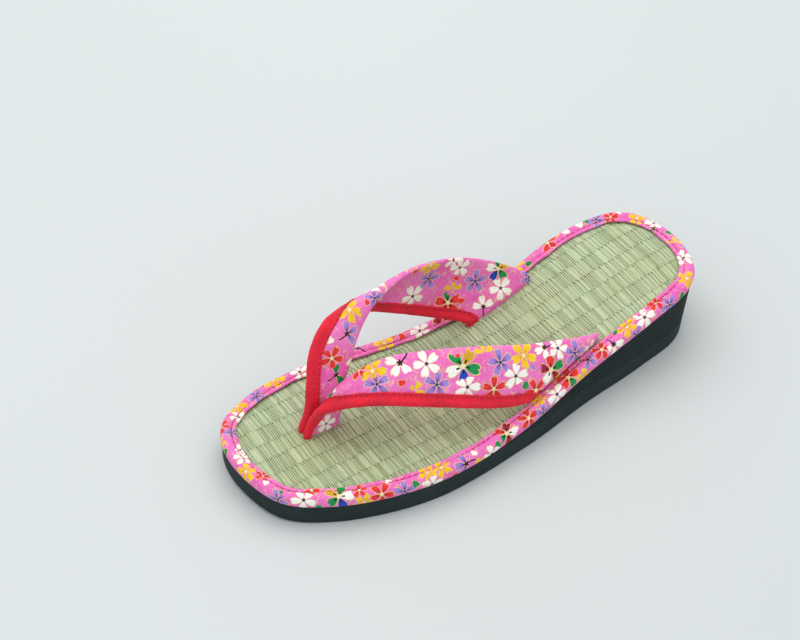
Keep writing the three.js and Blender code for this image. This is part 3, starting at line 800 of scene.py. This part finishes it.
def footbed():
    """The rush mat as a height field over the insole: strands across the foot, whose gaps are deep
    or shallow between one warp and the next, and which dip at every second warp; with straight
    sides down to the sole and a flat underside."""
    rng = np.random.default_rng(11)
    stations, medial, lateral = side_lines(INSOLE_INSET)
    y, strand, phase, arch = strand_rows(rng, stations)
    warps, x = warp_columns(rng)
    is_gap = (arch == 0).astype(float)[:, None]
    cell_place = np.interp(x, warps, np.arange(len(warps)))
    cell = np.clip(np.floor(cell_place).astype(int), 0, len(warps) - 2)
    warp_gap = np.abs(x[:, None] - warps[None])
    pinch = np.exp(-((warp_gap.min(1) / WARP_HALF) ** 2))

    strands = strand[-1] + 1
    chance = rng.random((strands + 1, len(warps)))
    paired = (np.arange(strands + 1)[:, None] + np.arange(len(warps))[None]) % 2 == 0
    deep = np.where(paired, chance < 0.8, chance < 0.36)
    gap_depth = np.where(deep, DEEP_GAP, SHALLOW_GAP) + GAP_SPREAD * rng.random(deep.shape)
    floated = STRAND_FLOAT * rng.standard_normal((strands, len(warps)))

    low, high = np.interp(y, stations, medial), np.interp(y, stations, lateral)
    low[[0, -1]] = high[[0, -1]] = (low[[0, -1]] + high[[0, -1]]) / 2
    drift = 0.5 * np.sin(y / 29)[:, None]
    gx = np.clip(x[None] + drift, low[:, None], high[:, None])
    waver = 0.45 * np.sin(gx / 19 + y[:, None] / 37) + 0.2 * np.sin(gx / 7.3 - y[:, None] / 23)
    gy = y[:, None] + waver * smoothstep(np.minimum(y - y[0], y[-1] - y) / 12)[:, None]

    gaps = gap_depth[strand][:, cell] * is_gap
    under = (strand[:, None] + np.argmin(warp_gap, 1)[None]) % 2
    relief = STRAND_RELIEF * (arch[:, None] - 1) * np.where(is_gap > 0, gaps, 1)
    on_strand = floated[strand][:, cell] - WARP_DIP * under * pinch[None]
    soft = 0.18 * np.sin(gx / 11 + 1.3) * np.sin(gy / 17)
    gz = (sole_top(gy) + INSOLE_TOP + 0.1 + relief + on_strand * (1 - is_gap) + soft
          - tucked_down(gx, gy))

    rows, columns = gx.shape
    left = np.maximum(np.searchsorted(x, low - drift[:, 0], side="right") - 1, 0)
    right = np.minimum(np.searchsorted(x, high - drift[:, 0], side="left"), columns - 1)
    k = np.clip(np.arange(columns)[None], left[:, None], right[:, None])
    index = np.arange(rows)[:, None] * columns + k
    points = np.stack([gx, gy, gz], -1).reshape(-1, 3)
    rim = np.concatenate([index[:, 0], index[:, -1]])
    below = points[rim].copy()
    below[:, 2] = sole_top(below[:, 1]) + 0.3
    faces = np.concatenate([split(index.ravel()[cells(rows, columns)]), *closed_below(index, len(points))])

    # the gap map: how deep each gap is, which sets its painted shade, and where the dark warp thread shows
    thread = np.clip(pinch[None] * np.where(is_gap > 0, gaps, 0.25 * under), 0, 1)
    strand_map = np.stack(np.broadcast_arrays(cell_place[None] + 0.01, (strand + phase)[:, None]), -1)
    maps = [values.reshape(-1, 2) for values in (strand_map, np.stack([gaps, thread], -1))]
    points, faces, strand_map, gap_shade_and_warp_map = used_only(
        np.vstack([points, below]), faces, *(np.vstack([values, values[rim]]) for values in maps))
    piece = make_piece("footbed", points, facing_out(points, faces), rush_finish(),
                       ["insole"], {"strand": strand_map, "gap_shade_and_warp": gap_shade_and_warp_map})
    weld(piece)
    return piece


# ---- edge binding ----

# Section of the binding: distance inwards from the outer edge, height above the sole's top.
BINDING_SECTION = [
    (1.6, 0.15), (0.55, 0.3), (0.0, 1.4), (0.0, 3.1), (0.7, 4.7), (2.1, 5.7), (3.7, 5.85),
    (4.65, 5.4), (5.1, 4.9), (5.6, 5.3), (6.3, 5.5), (7.0, 5.3), (7.3, 4.8), (6.6, 4.3),
    (4.0, 4.1), (2.2, 3.4), (2.0, 1.2),
]
SECTION_STEPS = 40
BINDING_STEPS = 760
SEAM_INSET = 5.1  # the stitch line, inwards from the outer edge
SEAM_HEIGHT = 4.95  # and above the sole's top
ROLL_MIDDLE = 3.0  # the roll's middle, inwards from the outer edge and above the sole's top
PUCKER_SPACING = 6.1
JOINT_AT = 268.0  # where the two ends of the tape meet, along the edge from the toe tip


def binding_grid():
    """The binding's points: the section carried round the outline, with a lip that wanders, a roll
    that swells and shrinks a little, and puckers where the edge curves."""
    ring, outward, turn = edge_ring(BINDING_STEPS)
    rng = np.random.default_rng(21)
    section = spline(BINDING_SECTION, np.arange(SECTION_STEPS) / SECTION_STEPS, closed=True)
    inward, height = section[:, 0][None], section[:, 1][None]
    walked = np.arange(BINDING_STEPS) / BINDING_STEPS * turn
    bend = np.linalg.norm(np.roll(outward, -6, 0) - np.roll(outward, 6, 0), axis=1)
    bend = (bend / bend.max())[:, None]
    phase = FULL_TURN * walked / PUCKER_SPACING + 2.2 * wander(rng, BINDING_STEPS, 17)
    pucker = (np.sin(phase)[:, None] * (0.1 + 0.16 * bend)
              * np.exp(-(((inward - 3.4) / 1.6) ** 2)) * (height > 4))
    swell = 0.22 * wander(rng, BINDING_STEPS, 11)[:, None] * smoothstep((height - 2) / 3)
    lip = 0.3 * wander(rng, BINDING_STEPS, 23)[:, None] * smoothstep((inward - 5.3) / 1.5)
    joint = np.exp(-(((walked - JOINT_AT) / 0.55) ** 2))[:, None] * (inward < 5.5) * smoothstep(height / 2)
    pull = 0.16 * joint
    inward = inward + (ROLL_MIDDLE - inward) * pull + lip
    height = height + (ROLL_MIDDLE - height) * pull + pucker + swell
    plan = ring[:, None] - outward[:, None] * inward[..., None]
    z = sole_top(plan[..., 1]) + height
    return np.concatenate([plan, z[..., None]], -1), walked, section, turn


def listed(chart):
    """A chart's motifs one by one, each with its row in MOTIFS put first."""
    return [(list(MOTIFS).index(kind), *spot) for kind, spots in chart.items() for spot in spots]


def edge_binding(finish):
    """The bound edge, with its print charted along the edge and across the tape."""
    grid, walked, section, turn = binding_grid()
    points = grid.reshape(-1, 3)
    faces = facing_out(points, cells(BINDING_STEPS, SECTION_STEPS, True, True))
    across = lengths_along(section)
    lip = across[int(np.argmax(section[:, 0]))]
    flat = np.stack(np.broadcast_arrays(walked[:, None], (lip - across)[None]), -1).reshape(-1, 2)
    corner = flat[faces]
    corner[..., 0] += turn * (corner[..., 0].max(1, keepdims=True) - corner[..., 0] > turn / 2)
    spots = np.array(listed(BINDING_PRINT), float)
    spots = np.concatenate([spots + [0, shift, 0, 0, 0] for shift in (-turn, 0, turn)])
    angle = np.radians(spots[:, 4])
    along = np.stack([np.cos(angle), np.sin(angle)], -1)
    aside = np.stack([-np.sin(angle), np.cos(angle)], -1)
    loose = corner.reshape(-1, 2)
    own = np.arange(len(loose)).reshape(-1, 4)
    petal, motif = stamp(loose, own, spots[:, 1:3], along, aside, spots[:, 3], spots[:, 0])
    return make_piece("binding", points, faces, finish, ["edge_binding"],
                      {"petal": petal, "motif": motif})


STITCH_SIDES = 6
STITCH_RINGS = 7
STITCH_CAP = np.array([[0, 1, 2, 3], [0, 3, 4, 5]])  # one ring's six corners, closed by two faces


def stitches(name, path, up, pitch, dash, radius, colour):
    """A row of stitches along a path: capsules whose ends sink in, with a radius that falls to a
    tenth at both ends."""
    walked = lengths_along(path)
    count = int(walked[-1] / pitch)
    share = np.linspace(-1, 1, STITCH_RINGS)
    at = ((np.arange(count) + 0.5) * walked[-1] / count)[:, None] + share[None] * dash / 2
    centre = np.stack([np.interp(at, walked, path[:, k]) for k in range(3)], -1)
    lift = unit(np.stack([np.interp(at, walked, up[:, k]) for k in range(3)], -1))
    ahead = unit(np.gradient(centre, axis=1))
    side = unit(np.cross(ahead, lift))
    thick = radius * np.sqrt(1.01 - share ** 4)
    centre = centre - lift * (0.35 * share ** 4)[None, :, None]
    angle = FULL_TURN * np.arange(STITCH_SIDES) / STITCH_SIDES
    round_it = (side[:, :, None] * np.cos(angle)[None, None, :, None]
                + lift[:, :, None] * np.sin(angle)[None, None, :, None])
    points = centre[:, :, None] + round_it * thick[None, :, None, None]
    tube = cells(STITCH_RINGS, STITCH_SIDES, wrap_columns=True)
    size = STITCH_RINGS * STITCH_SIDES
    last = size - STITCH_SIDES + STITCH_CAP[:, ::-1]
    one = facing_out(points[0].reshape(-1, 3), np.concatenate([tube, STITCH_CAP, last]))
    faces = (np.arange(count)[:, None, None] * size + one[None]).reshape(-1, 4)
    finish = thread_finish(name + "_thread", colour, 0.55)
    return make_piece(name, points.reshape(-1, 3), faces, finish)


# ---- strap ----

BAND_STATIONS = 230
BAND_ACROSS = 40
END_SLANT = 0.45  # how far a blunt end is drawn back, as a share of its length
GATHER_SPACING = 6.3
BAND_EDGE = 1.2  # the cloth starts this far from the piping's centre line, inside the cord

# Soft folds of a band: from (share along, mm across) to (share along, mm across), width, depth.
LATERAL_FOLDS = [
    (0.10, 4.0, 0.22, 17.0, 1.6, 0.5),
    (0.16, 2.0, 0.30, 9.0, 2.2, 0.35),
    (0.86, 4.0, 0.97, 16.0, 2.2, 0.6),
]
MEDIAL_FOLDS = [
    (0.08, 3.0, 0.20, 16.0, 1.8, 0.5),
    (0.40, 14.0, 0.62, 18.0, 3.0, 0.45),
    (0.85, 6.0, 0.97, 22.0, 2.4, 0.5),
]


def band_cloth(lines, folds, seed, end_round):
    """One padded band as a closed grid: rows along it, columns over the outer face and back over
    the inner one. Thickness falls to nothing at both edges as the tenth power of the distance from
    the middle; the rear edge is drawn back bluntly into the side slit over its last end_round mm,
    by a parabola; both faces share the crown, the folds (bell curves about a straight line) and the
    small gathers that the piping's seam draws up."""
    rng = np.random.default_rng(seed)
    rows = len(lines["front"])
    q = 0.5 - 0.5 * np.cos(np.linspace(0, math.pi, BAND_ACROSS + 1))
    to_end = np.linalg.norm(lines["rear"] - lines["rear"][rows - 1 - TONGUE_STEPS], axis=1)
    to_end[rows - TONGUE_STEPS:] = 0.0
    blunt = np.clip(1 - to_end / end_round, 0, 1) ** 2
    width = BAND_START + lines["width"] - END_SLANT * end_round * blunt
    c = BAND_EDGE + (width - BAND_EDGE)[:, None] * q[None]
    padding = 0.55 + 0.45 * smoothstep((c - 2.0) / 6.0)
    half = STRAP_HALF * padding * np.sqrt(np.clip(1 - np.abs(2 * q - 1) ** 10, 0, 1))[None]
    walked = lines["along"][:, None]
    share = np.clip((walked - walked[TONGUE_STEPS]) / (walked[-TONGUE_STEPS] - walked[TONGUE_STEPS]), 0, 1)
    free = lines["fade"][:, None]
    phase = FULL_TURN * walked / GATHER_SPACING + 1.5 * wander(rng, rows, 9, closed=False)[:, None]
    gather = 0.2 * np.sin(phase) * np.exp(-np.maximum(c - 4.5, 0) / 3.5)
    broad = 0.3 * np.sin(walked / 9.5 + c / 6.0 + seed) + 0.2 * np.sin(walked / 5.7 - c / 4.1)
    dents = free * (gather + broad)
    scale = float(lines["along"][-1])
    for along0, across0, along1, across1, spread, depth in folds:
        away = line_distance(share * scale, c, (along0 * scale, across0), (along1 * scale, across1))
        dents = dents - depth * np.exp(-((away / spread) ** 2))
    row = np.arange(rows)[:, None] + np.zeros_like(c, dtype=int)
    outer = band_surface(lines, row, c, half + dents)
    inner = band_surface(lines, row, c, -half + dents)
    return np.concatenate([outer, inner[:, -2:0:-1]], 1), share, c


FACE_APART = 1000.0  # keeps motifs of the outer and inner face apart


def band_motifs(chart, lines, grid, share, c):
    """The charted motifs on a band's grid, as stamp takes them: centres with a fourth number that
    keeps the two faces apart, axes along and across the band turned by the charted angle, radii
    and rows in MOTIFS."""
    rows, columns = grid.shape[:2]
    found = []
    for face, part in chart.items():
        apart = 0.0 if face == "outer" else FACE_APART
        for kind, s, across, radius, turned in listed(part):
            row = int(np.argmin(np.abs(share[:, 0] - s)))
            at = int(np.argmin(np.abs(c[row] - across)))
            column = at if face == "outer" else (columns - at) % columns
            e1 = unit(grid[min(row + 2, rows - 1), column] - grid[max(row - 2, 0), column])
            e2 = lines["across"][row]
            e2 = unit(e2 - e1 * (e1 @ e2))
            w = math.radians(turned)
            along = [*(e1 * math.cos(w) + e2 * math.sin(w)), 0.0]
            aside = [*(e2 * math.cos(w) - e1 * math.sin(w)), 0.0]
            found.append(([*grid[row, column], apart], along, aside, radius, kind))
    return [np.array(values, float) for values in zip(*found)]


def strap(bands, finish):
    """Both bands in one piece, with their prints."""
    parts = []
    first = 0
    for lines, folds, chart, seed, end_round in bands:
        grid, share, c = band_cloth(lines, folds, seed, end_round)
        rows, columns = grid.shape[:2]
        points = grid.reshape(-1, 3)
        walls = cells(rows, columns, wrap_columns=True)
        faces = np.concatenate([walls, strip_caps(columns, (rows - 1) * columns)])
        faces = facing_out(points, faces)
        column = np.median(faces % columns, axis=1)
        side = np.where(column < BAND_ACROSS, 0.0, FACE_APART)
        corner = np.concatenate([points[faces], np.repeat(side[:, None], 4, 1)[..., None]], -1)
        loose = corner.reshape(-1, 4)
        own = np.arange(len(loose)).reshape(-1, 4)
        petal, motif = stamp(loose, own, *band_motifs(chart, lines, grid, share, c))
        parts.append((points, faces + first, petal, motif))
        first += len(points)
    points, faces, petal, motif = (np.concatenate(values) for values in zip(*parts))
    piece = make_piece("strap_cloth", points, faces, finish, ["strap"],
                       {"petal": petal, "motif": motif})
    return piece


# Section of the piping: from the cord's centre line across the band, and out of its middle layer.
PIPING_SECTION = [
    (4.7, 1.35), (4.45, 1.75), (3.6, 1.85), (2.7, 1.72), (1.9, 1.62), (1.2, 1.75), (0.4, 1.96),
    (-0.8, 1.83), (-1.65, 1.13), (-2.0, 0.0), (-1.65, -1.13), (-0.8, -1.83), (0.4, -1.96),
    (1.2, -1.75), (1.9, -1.62), (2.7, -1.72), (3.6, -1.85), (4.45, -1.75), (4.7, -1.35), (3.9, 0.0),
]
PIPING_SIDES = 48
TAPE_ROOT = 1.2  # where the tape's flat part meets the cord, from the cord's centre line
TAPE_STARTS = 0.05  # share of the band where that part begins to leave the cord
TAPE_FULL = 0.12
TAPE_PUCKERS = 5.2
STITCH_LINE = 3.6  # stitches from the cord's centre line
STITCH_HEIGHT = 1.88  # and from the band's middle layer
STITCH_STARTS = 0.13  # share of the band


def piping(name, lines, node, finish, seed, reach):
    """Bias tape sewn over a cord and the band's edge: its section carried along the band's own
    surface. The flat part, whose width is scaled by reach, shrinks into the cord at the neck."""
    rng = np.random.default_rng(seed)
    section = spline(PIPING_SECTION, np.arange(PIPING_SIDES) / PIPING_SIDES, closed=True)
    rows = len(lines["front"])
    share = np.linspace(0, 1, rows)[:, None]
    grow = smoothstep((share - TAPE_STARTS) / (TAPE_FULL - TAPE_STARTS))
    c = section[None, :, 0] * np.ones((rows, 1))
    n = section[None, :, 1] * np.ones((rows, 1))
    c = np.where(c > TAPE_ROOT, TAPE_ROOT + (c - TAPE_ROOT) * grow * reach, c)
    n = n * (1 - 0.12 * (1 - grow) * (c > 1.0))
    plump = 1 + 0.035 * wander(rng, rows, 13, closed=False)[:, None]
    phase = FULL_TURN * lines["along"] / TAPE_PUCKERS + 2 * wander(rng, rows, 7, closed=False)
    n = n * plump + 0.08 * np.sin(phase)[:, None] * np.sign(n) * smoothstep((c - 1) / 2)
    c = c * plump
    row = np.arange(rows)[:, None] + np.zeros(c.shape, int)
    points = band_surface(lines, row, c, n).reshape(-1, 3)
    k = np.arange(1, PIPING_SIDES - 1)
    fan = np.stack([0 * k, k, k + 1], -1)
    faces = split(facing_out(points, cells(rows, PIPING_SIDES, wrap_columns=True)))
    faces = np.concatenate([faces, fan, (rows - 1) * PIPING_SIDES + fan[:, ::-1]])
    return make_piece(name, points, faces, finish, [node])


def piping_stitches(name, lines, side, reach, colour):
    """The stitch line along a piping, on the band's outer (side 1) or inner (side -1) face."""
    count = len(lines["front"])
    rows = np.arange(int(count * STITCH_STARTS), count - 2 * TONGUE_STEPS)
    c = np.full(len(rows), TAPE_ROOT + (STITCH_LINE - TAPE_ROOT) * reach)
    path = band_surface(lines, rows, c, np.full(len(rows), STITCH_HEIGHT * side))
    return stitches(name, path, lines["normal"][rows] * side, 2.4, 1.5, 0.33, colour)


# ---- the print, charted ----

# For each motif: (along the edge from the toe tip round the outer side, across the tape from its
# inner lip, radius, turn in degrees).
BINDING_PRINT = {
    "white": [
        (4, 3, 4.2, 200), (43.5, 7.5, 5.2, 95), (101.5, 11, 4.8, 0), (134, 11.5, 4.8, 45),
        (175, 7.5, 5.2, 30), (231, 6, 5.2, 85), (279, 3.5, 5.2, 70), (309, 5.5, 4.8, 45),
        (329, 10, 4.8, 60), (411, 5.5, 5.2, 60), (446, 3.5, 4.4, 10), (468, 11, 4.6, 25),
        (508, 4, 4.4, 95), (550.5, 1.5, 4.2, 45), (578, 1.5, 3.8, 40)],
    "gold": [
        (12, 7, 4.6, 80), (70, 11, 4.2, 10), (101, 4.5, 4.4, 30), (108, 5, 4.4, 120),
        (127, 13, 4.0, 30), (167, 3.5, 3.6, 20), (191, 11, 4.4, 10), (221.5, 4, 5.0, 50),
        (262.5, 6, 5.0, 0), (314.5, 10, 4.6, 20), (318.5, 4, 4.4, 80), (361, 10.5, 4.6, 90),
        (391, 7.5, 5.2, 45), (424, 3.5, 4.2, 80), (464, 4, 4.6, 90), (486, 10.5, 4.6, 15),
        (521, 6.5, 5.0, 60), (545, 6, 4.6, 150), (570, 11, 4.4, 0)],
    "red": [
        (19, 2.5, 3.6, 30), (47, 1.5, 3.6, 10), (68.5, 4.5, 3.6, 60), (78, 8.5, 5.4, 90),
        (157, 7, 5.0, 75), (205, 5.5, 4.6, 15), (240.5, 3.5, 4.4, 10), (297, 11.5, 5.0, 75),
        (334, 3.5, 4.2, 30), (370, 6, 5.0, 30), (404, 11.5, 4.4, 20), (455, 8, 5.2, 50),
        (490, 3.5, 4.2, 75), (530, 10, 4.8, 10), (560, 8, 4.4, 60)],
    "lilac": [
        (32, 9.5, 4.6, 20), (88.5, 10, 5.0, 130), (165, 10, 4.6, 0), (224, 11, 4.4, 20),
        (245.5, 9, 5.0, 40), (285, 10.5, 4.6, 10), (322.5, 12, 4.4, 10), (342, 4.5, 4.8, 75),
        (400, 4, 4.6, 100), (442, 10.5, 4.4, 70), (534, 3.5, 4.2, 80), (564.5, 2.5, 4.2, 15)],
    "bouquet": [(59, 6.5, 6.2, 70), (349, 9, 5.4, 15), (499, 7.5, 5.4, 40)],
    "festive": [(144, 6.5, 5.8, 20), (433, 7, 5.6, 35)],
    "clover": [(184.5, 5, 5.4, 80)],
    "white_sprig": [(211, 7, 5.2, 100), (379, 10.5, 4.8, 70)],
    "lilac_sprig": [(119.5, 8.5, 5.4, 190), (197, 5, 4.4, 60), (477, 6, 5.4, 65)],
    "leaf_sprig": [(306.5, 1.5, 3.8, 0), (420, 10, 4.8, 10), (553.5, 11, 4.6, 70)],
    "red_petal": [(111, 11.5, 3.6, 0), (268, 11.5, 3.8, 60)],
    "white_petal": [(24, 7, 3.4, 250), (85, 3, 3.6, 200), (125, 3.5, 3.4, 80), (357, 3.5, 4.2, 50)],
    "leaf": [
        (34, 5, 3.4, 150), (52, 10.5, 3.2, 160), (93, 5.5, 3.8, 70), (138, 6, 4.2, 100),
        (151, 12, 3.6, 60), (214, 2, 3.2, 0), (254.5, 7, 5.2, 95), (300.5, 4, 4.4, 120),
        (382, 3, 4.0, 0), (512, 11, 4.6, 20), (575.5, 6.5, 4.6, 100)],
    "bud": [(291, 4, 4.0, 30)],
}

# For each face and motif: (share of the way from toe to side, mm from the piping's centre line,
# radius, turn in degrees).
LATERAL_PRINT = {
    "outer": {
        "white": [
            (0.12, 12, 5.6, 100), (0.42, 21, 5.6, 40), (0.61, 8.5, 5.6, 75), (0.755, 16, 5.6, 85),
            (0.82, 36, 5.0, 65), (0.98, 36, 4.6, 0)],
        "gold": [(0.26, 17.5, 5.4, 60), (0.72, 28.5, 5.6, 55), (0.98, 15, 5.0, 30)],
        "red": [(0.2, 20, 4.4, 20), (0.715, 8.5, 5.2, 20), (0.91, 7, 5.2, 60)],
        "lilac": [(0.31, 9, 5.2, 100), (0.5, 9, 5.4, 10), (0.655, 23.5, 5.6, 30), (0.9, 33.5, 5.4, 20)],
        "bouquet": [(0.54, 19.5, 7.4, 275)],
        "festive": [(0.88, 21.5, 6.4, 240)],
        "white_sprig": [(0.33, 21.5, 5.8, 235), (0.77, 35.5, 4.8, 200)],
        "red_petal": [(0.4, 11, 3.8, 200), (0.49, 28, 3.6, 260)],
        "lilac_petal": [(0.81, 21, 3.4, 140)],
        "leaf": [(0.17, 4.5, 3.6, 60), (0.83, 8, 4.2, 30), (0.99, 26, 4.4, 80)],
        "bud": [(0.45, 5, 4.0, 60), (0.58, 28.5, 4.2, 100)],
    },
    "inner": {
        "white": [(0.02, 8.5, 4.4, 70), (0.22, 8, 5.2, 60), (0.45, 22, 5.6, 10), (0.75, 17, 5.6, 90)],
        "gold": [(0.1, 12, 5.0, 20), (0.62, 25, 5.4, 70), (0.86, 8, 5.0, 65)],
        "red": [(0.24, 20, 5.0, 100), (0.66, 7, 5.0, 20), (0.97, 34, 4.6, 50)],
        "lilac": [(0.34, 13, 5.6, 30), (0.78, 30, 5.0, 40)],
        "bouquet": [(0.55, 13, 6.2, 50)],
        "festive": [(0.9, 23, 6.0, 15)],
        "leaf_sprig": [(0.44, 7, 4.6, 80)],
    },
}
MEDIAL_PRINT = {
    "outer": {
        "white": [(0.48, 12, 5.6, 55), (0.8, 32, 5.0, 90), (0.94, 9, 5.0, 25)],
        "gold": [(0.06, 12, 4.6, 30), (0.38, 8, 5.6, 70), (0.585, 20, 5.2, 60), (0.81, 7, 4.8, 10)],
        "red": [(0.225, 9, 5.0, 90), (0.575, 11.5, 4.8, 40), (0.87, 20, 5.4, 50)],
        "lilac": [(0.39, 21.5, 4.6, 30), (0.66, 28, 5.0, 20), (0.93, 33, 5.0, 70)],
        "bouquet": [(0.74, 18, 6.4, 30)],
        "white_sprig": [(0.67, 9, 5.4, 75)],
        "lilac_sprig": [(0.29, 14, 5.2, 40)],
        "leaf_sprig": [(0.165, 12, 5.0, 60)],
        "red_petal": [(0.37, 17.5, 3.8, 0)],
        "white_petal": [(0.2, 21, 4.0, 200), (0.28, 4.5, 3.4, 20)],
        "leaf": [(0.54, 5, 4.0, 80), (0.98, 22, 4.6, 60)],
    },
    "inner": {
        "white": [
            (0.1, 12, 5.4, 100), (0.42, 19, 5.6, 60), (0.69, 8.5, 5.6, 60), (0.715, 32, 4.4, 75),
            (0.77, 28, 5.0, 40), (0.955, 24, 5.2, 70)],
        "gold": [(0.2, 7, 5.0, 40), (0.63, 28.5, 5.4, 50)],
        "red": [(0.34, 9, 5.2, 20)],
        "lilac": [
            (0.24, 18, 5.2, 80), (0.695, 18.5, 5.2, 20), (0.865, 23, 5.4, 30), (0.98, 37, 4.2, 50)],
        "bouquet": [(0.89, 33, 5.6, 255)],
        "clover": [(0.85, 7, 6.0, 105)],
        "white_sprig": [(0.975, 10, 4.8, 130)],
        "leaf_sprig": [(0.52, 9, 5.0, 30)],
        "red_petal": [(0.59, 22.5, 3.8, 90), (0.78, 22, 3.6, 10), (0.9, 11, 3.8, 200)],
        "bud": [(0.82, 16, 4.4, 100)],
    },
}


# ---- the sandal ----

lateral = band_lines(LATERAL_BAND, 1, BAND_STATIONS)
medial = band_lines(MEDIAL_BAND, -1, BAND_STATIONS)
printed = print_finish()
tape = thread_finish("red_cotton_bias_tape", "#EC1535", 0.85)

outsole()
wedge()
footbed()
edge_binding(printed)
strap([(lateral, LATERAL_FOLDS, LATERAL_PRINT, 31, 16.0), (medial, MEDIAL_FOLDS, MEDIAL_PRINT, 32, 1.0)],
      printed)
for band, lines, seed, reach in (("lateral", lateral, 41, 0.95), ("medial", medial, 42, 0.85)):
    piping(f"piping_{band}_cord", lines, f"piping_{band}", tape, seed, reach)
    for side, label in ((1, "outer"), (-1, "inner")):
        piping_stitches(f"piping_{band}_{label}_stitches", lines, side, reach, "#A0122A")

ring, outward, _ = edge_ring(1200)
seam = ring - outward * SEAM_INSET
seam = np.column_stack([seam, sole_top(seam[:, 1]) + SEAM_HEIGHT])
seam = np.vstack([seam, seam[:1]])
up = np.tile([0.0, 0.0, 1.0], (len(seam), 1))
stitches("binding_stitches", seam, up, 3.0, 2.9, 0.26, "#B0184A")

# ---- floor, light and camera ----

FLOOR_SIZE = 6.0


def backdrop_finish():
    """Matt white paper sweep, faintly cool and slightly uneven."""
    material, tree, shader = new_finish("studio_paper", 0.95)
    place = add(tree, "TexCoord").outputs["Object"]
    cloud = add(tree, "TexNoise", place, Scale=1.2, Detail=2.0)
    tint = add(tree, "ValToRGB", cloud, stops=[(0.3, linear("#CDD1D1")), (0.7, linear("#D2D6D6"))])
    tree.links.new(tint.outputs[0], shader.inputs["Base Color"])
    return material


floor_mesh = bpy.data.meshes.new("floor")
half = FLOOR_SIZE / 2
floor_mesh.from_pydata([(-half, -half, 0), (half, -half, 0), (half, half, 0), (-half, half, 0)], [],
                       [(0, 1, 2, 3)])
floor_mesh.materials.append(backdrop_finish())
floor = bpy.data.objects.new("floor", floor_mesh)
bpy.context.scene.collection.objects.link(floor)


def aim(thing, place, target):
    """Puts a light or camera at a place, its -Z axis towards the target, its Y axis upwards."""
    thing.location = place
    direction = Vector(target) - Vector(place)
    thing.rotation_euler = direction.to_track_quat("-Z", "Y").to_euler()


def softbox(name, place, size, power, colour):
    """Square area light aimed at the middle of the sandal."""
    lamp = bpy.data.lights.new(name, "AREA")
    lamp.size, lamp.energy, lamp.color = size, power, colour
    thing = bpy.data.objects.new(name, lamp)
    bpy.context.scene.collection.objects.link(thing)
    aim(thing, place, (0, 0, 0.02))


softbox("overhead", (-0.35, 0.08, 1.1), 1.3, 7.0, (1.0, 0.995, 0.98))

world = bpy.data.worlds.new("studio")
bpy.context.scene.world = world
world.use_nodes = True
world.node_tree.nodes["Background"].inputs["Color"].default_value = (0.93, 0.96, 0.97, 1.0)
world.node_tree.nodes["Background"].inputs["Strength"].default_value = 0.9

eye = bpy.data.cameras.new("camera")
eye.lens, eye.sensor_width = 85.84, 36.0
camera = bpy.data.objects.new("camera", eye)
bpy.context.scene.collection.objects.link(camera)
aim(camera, (0.5087, -0.3567, 0.6448), (-0.0605, -0.0016, 0.0))
bpy.context.scene.camera = camera
bpy.context.scene.view_settings.view_transform = "Standard"
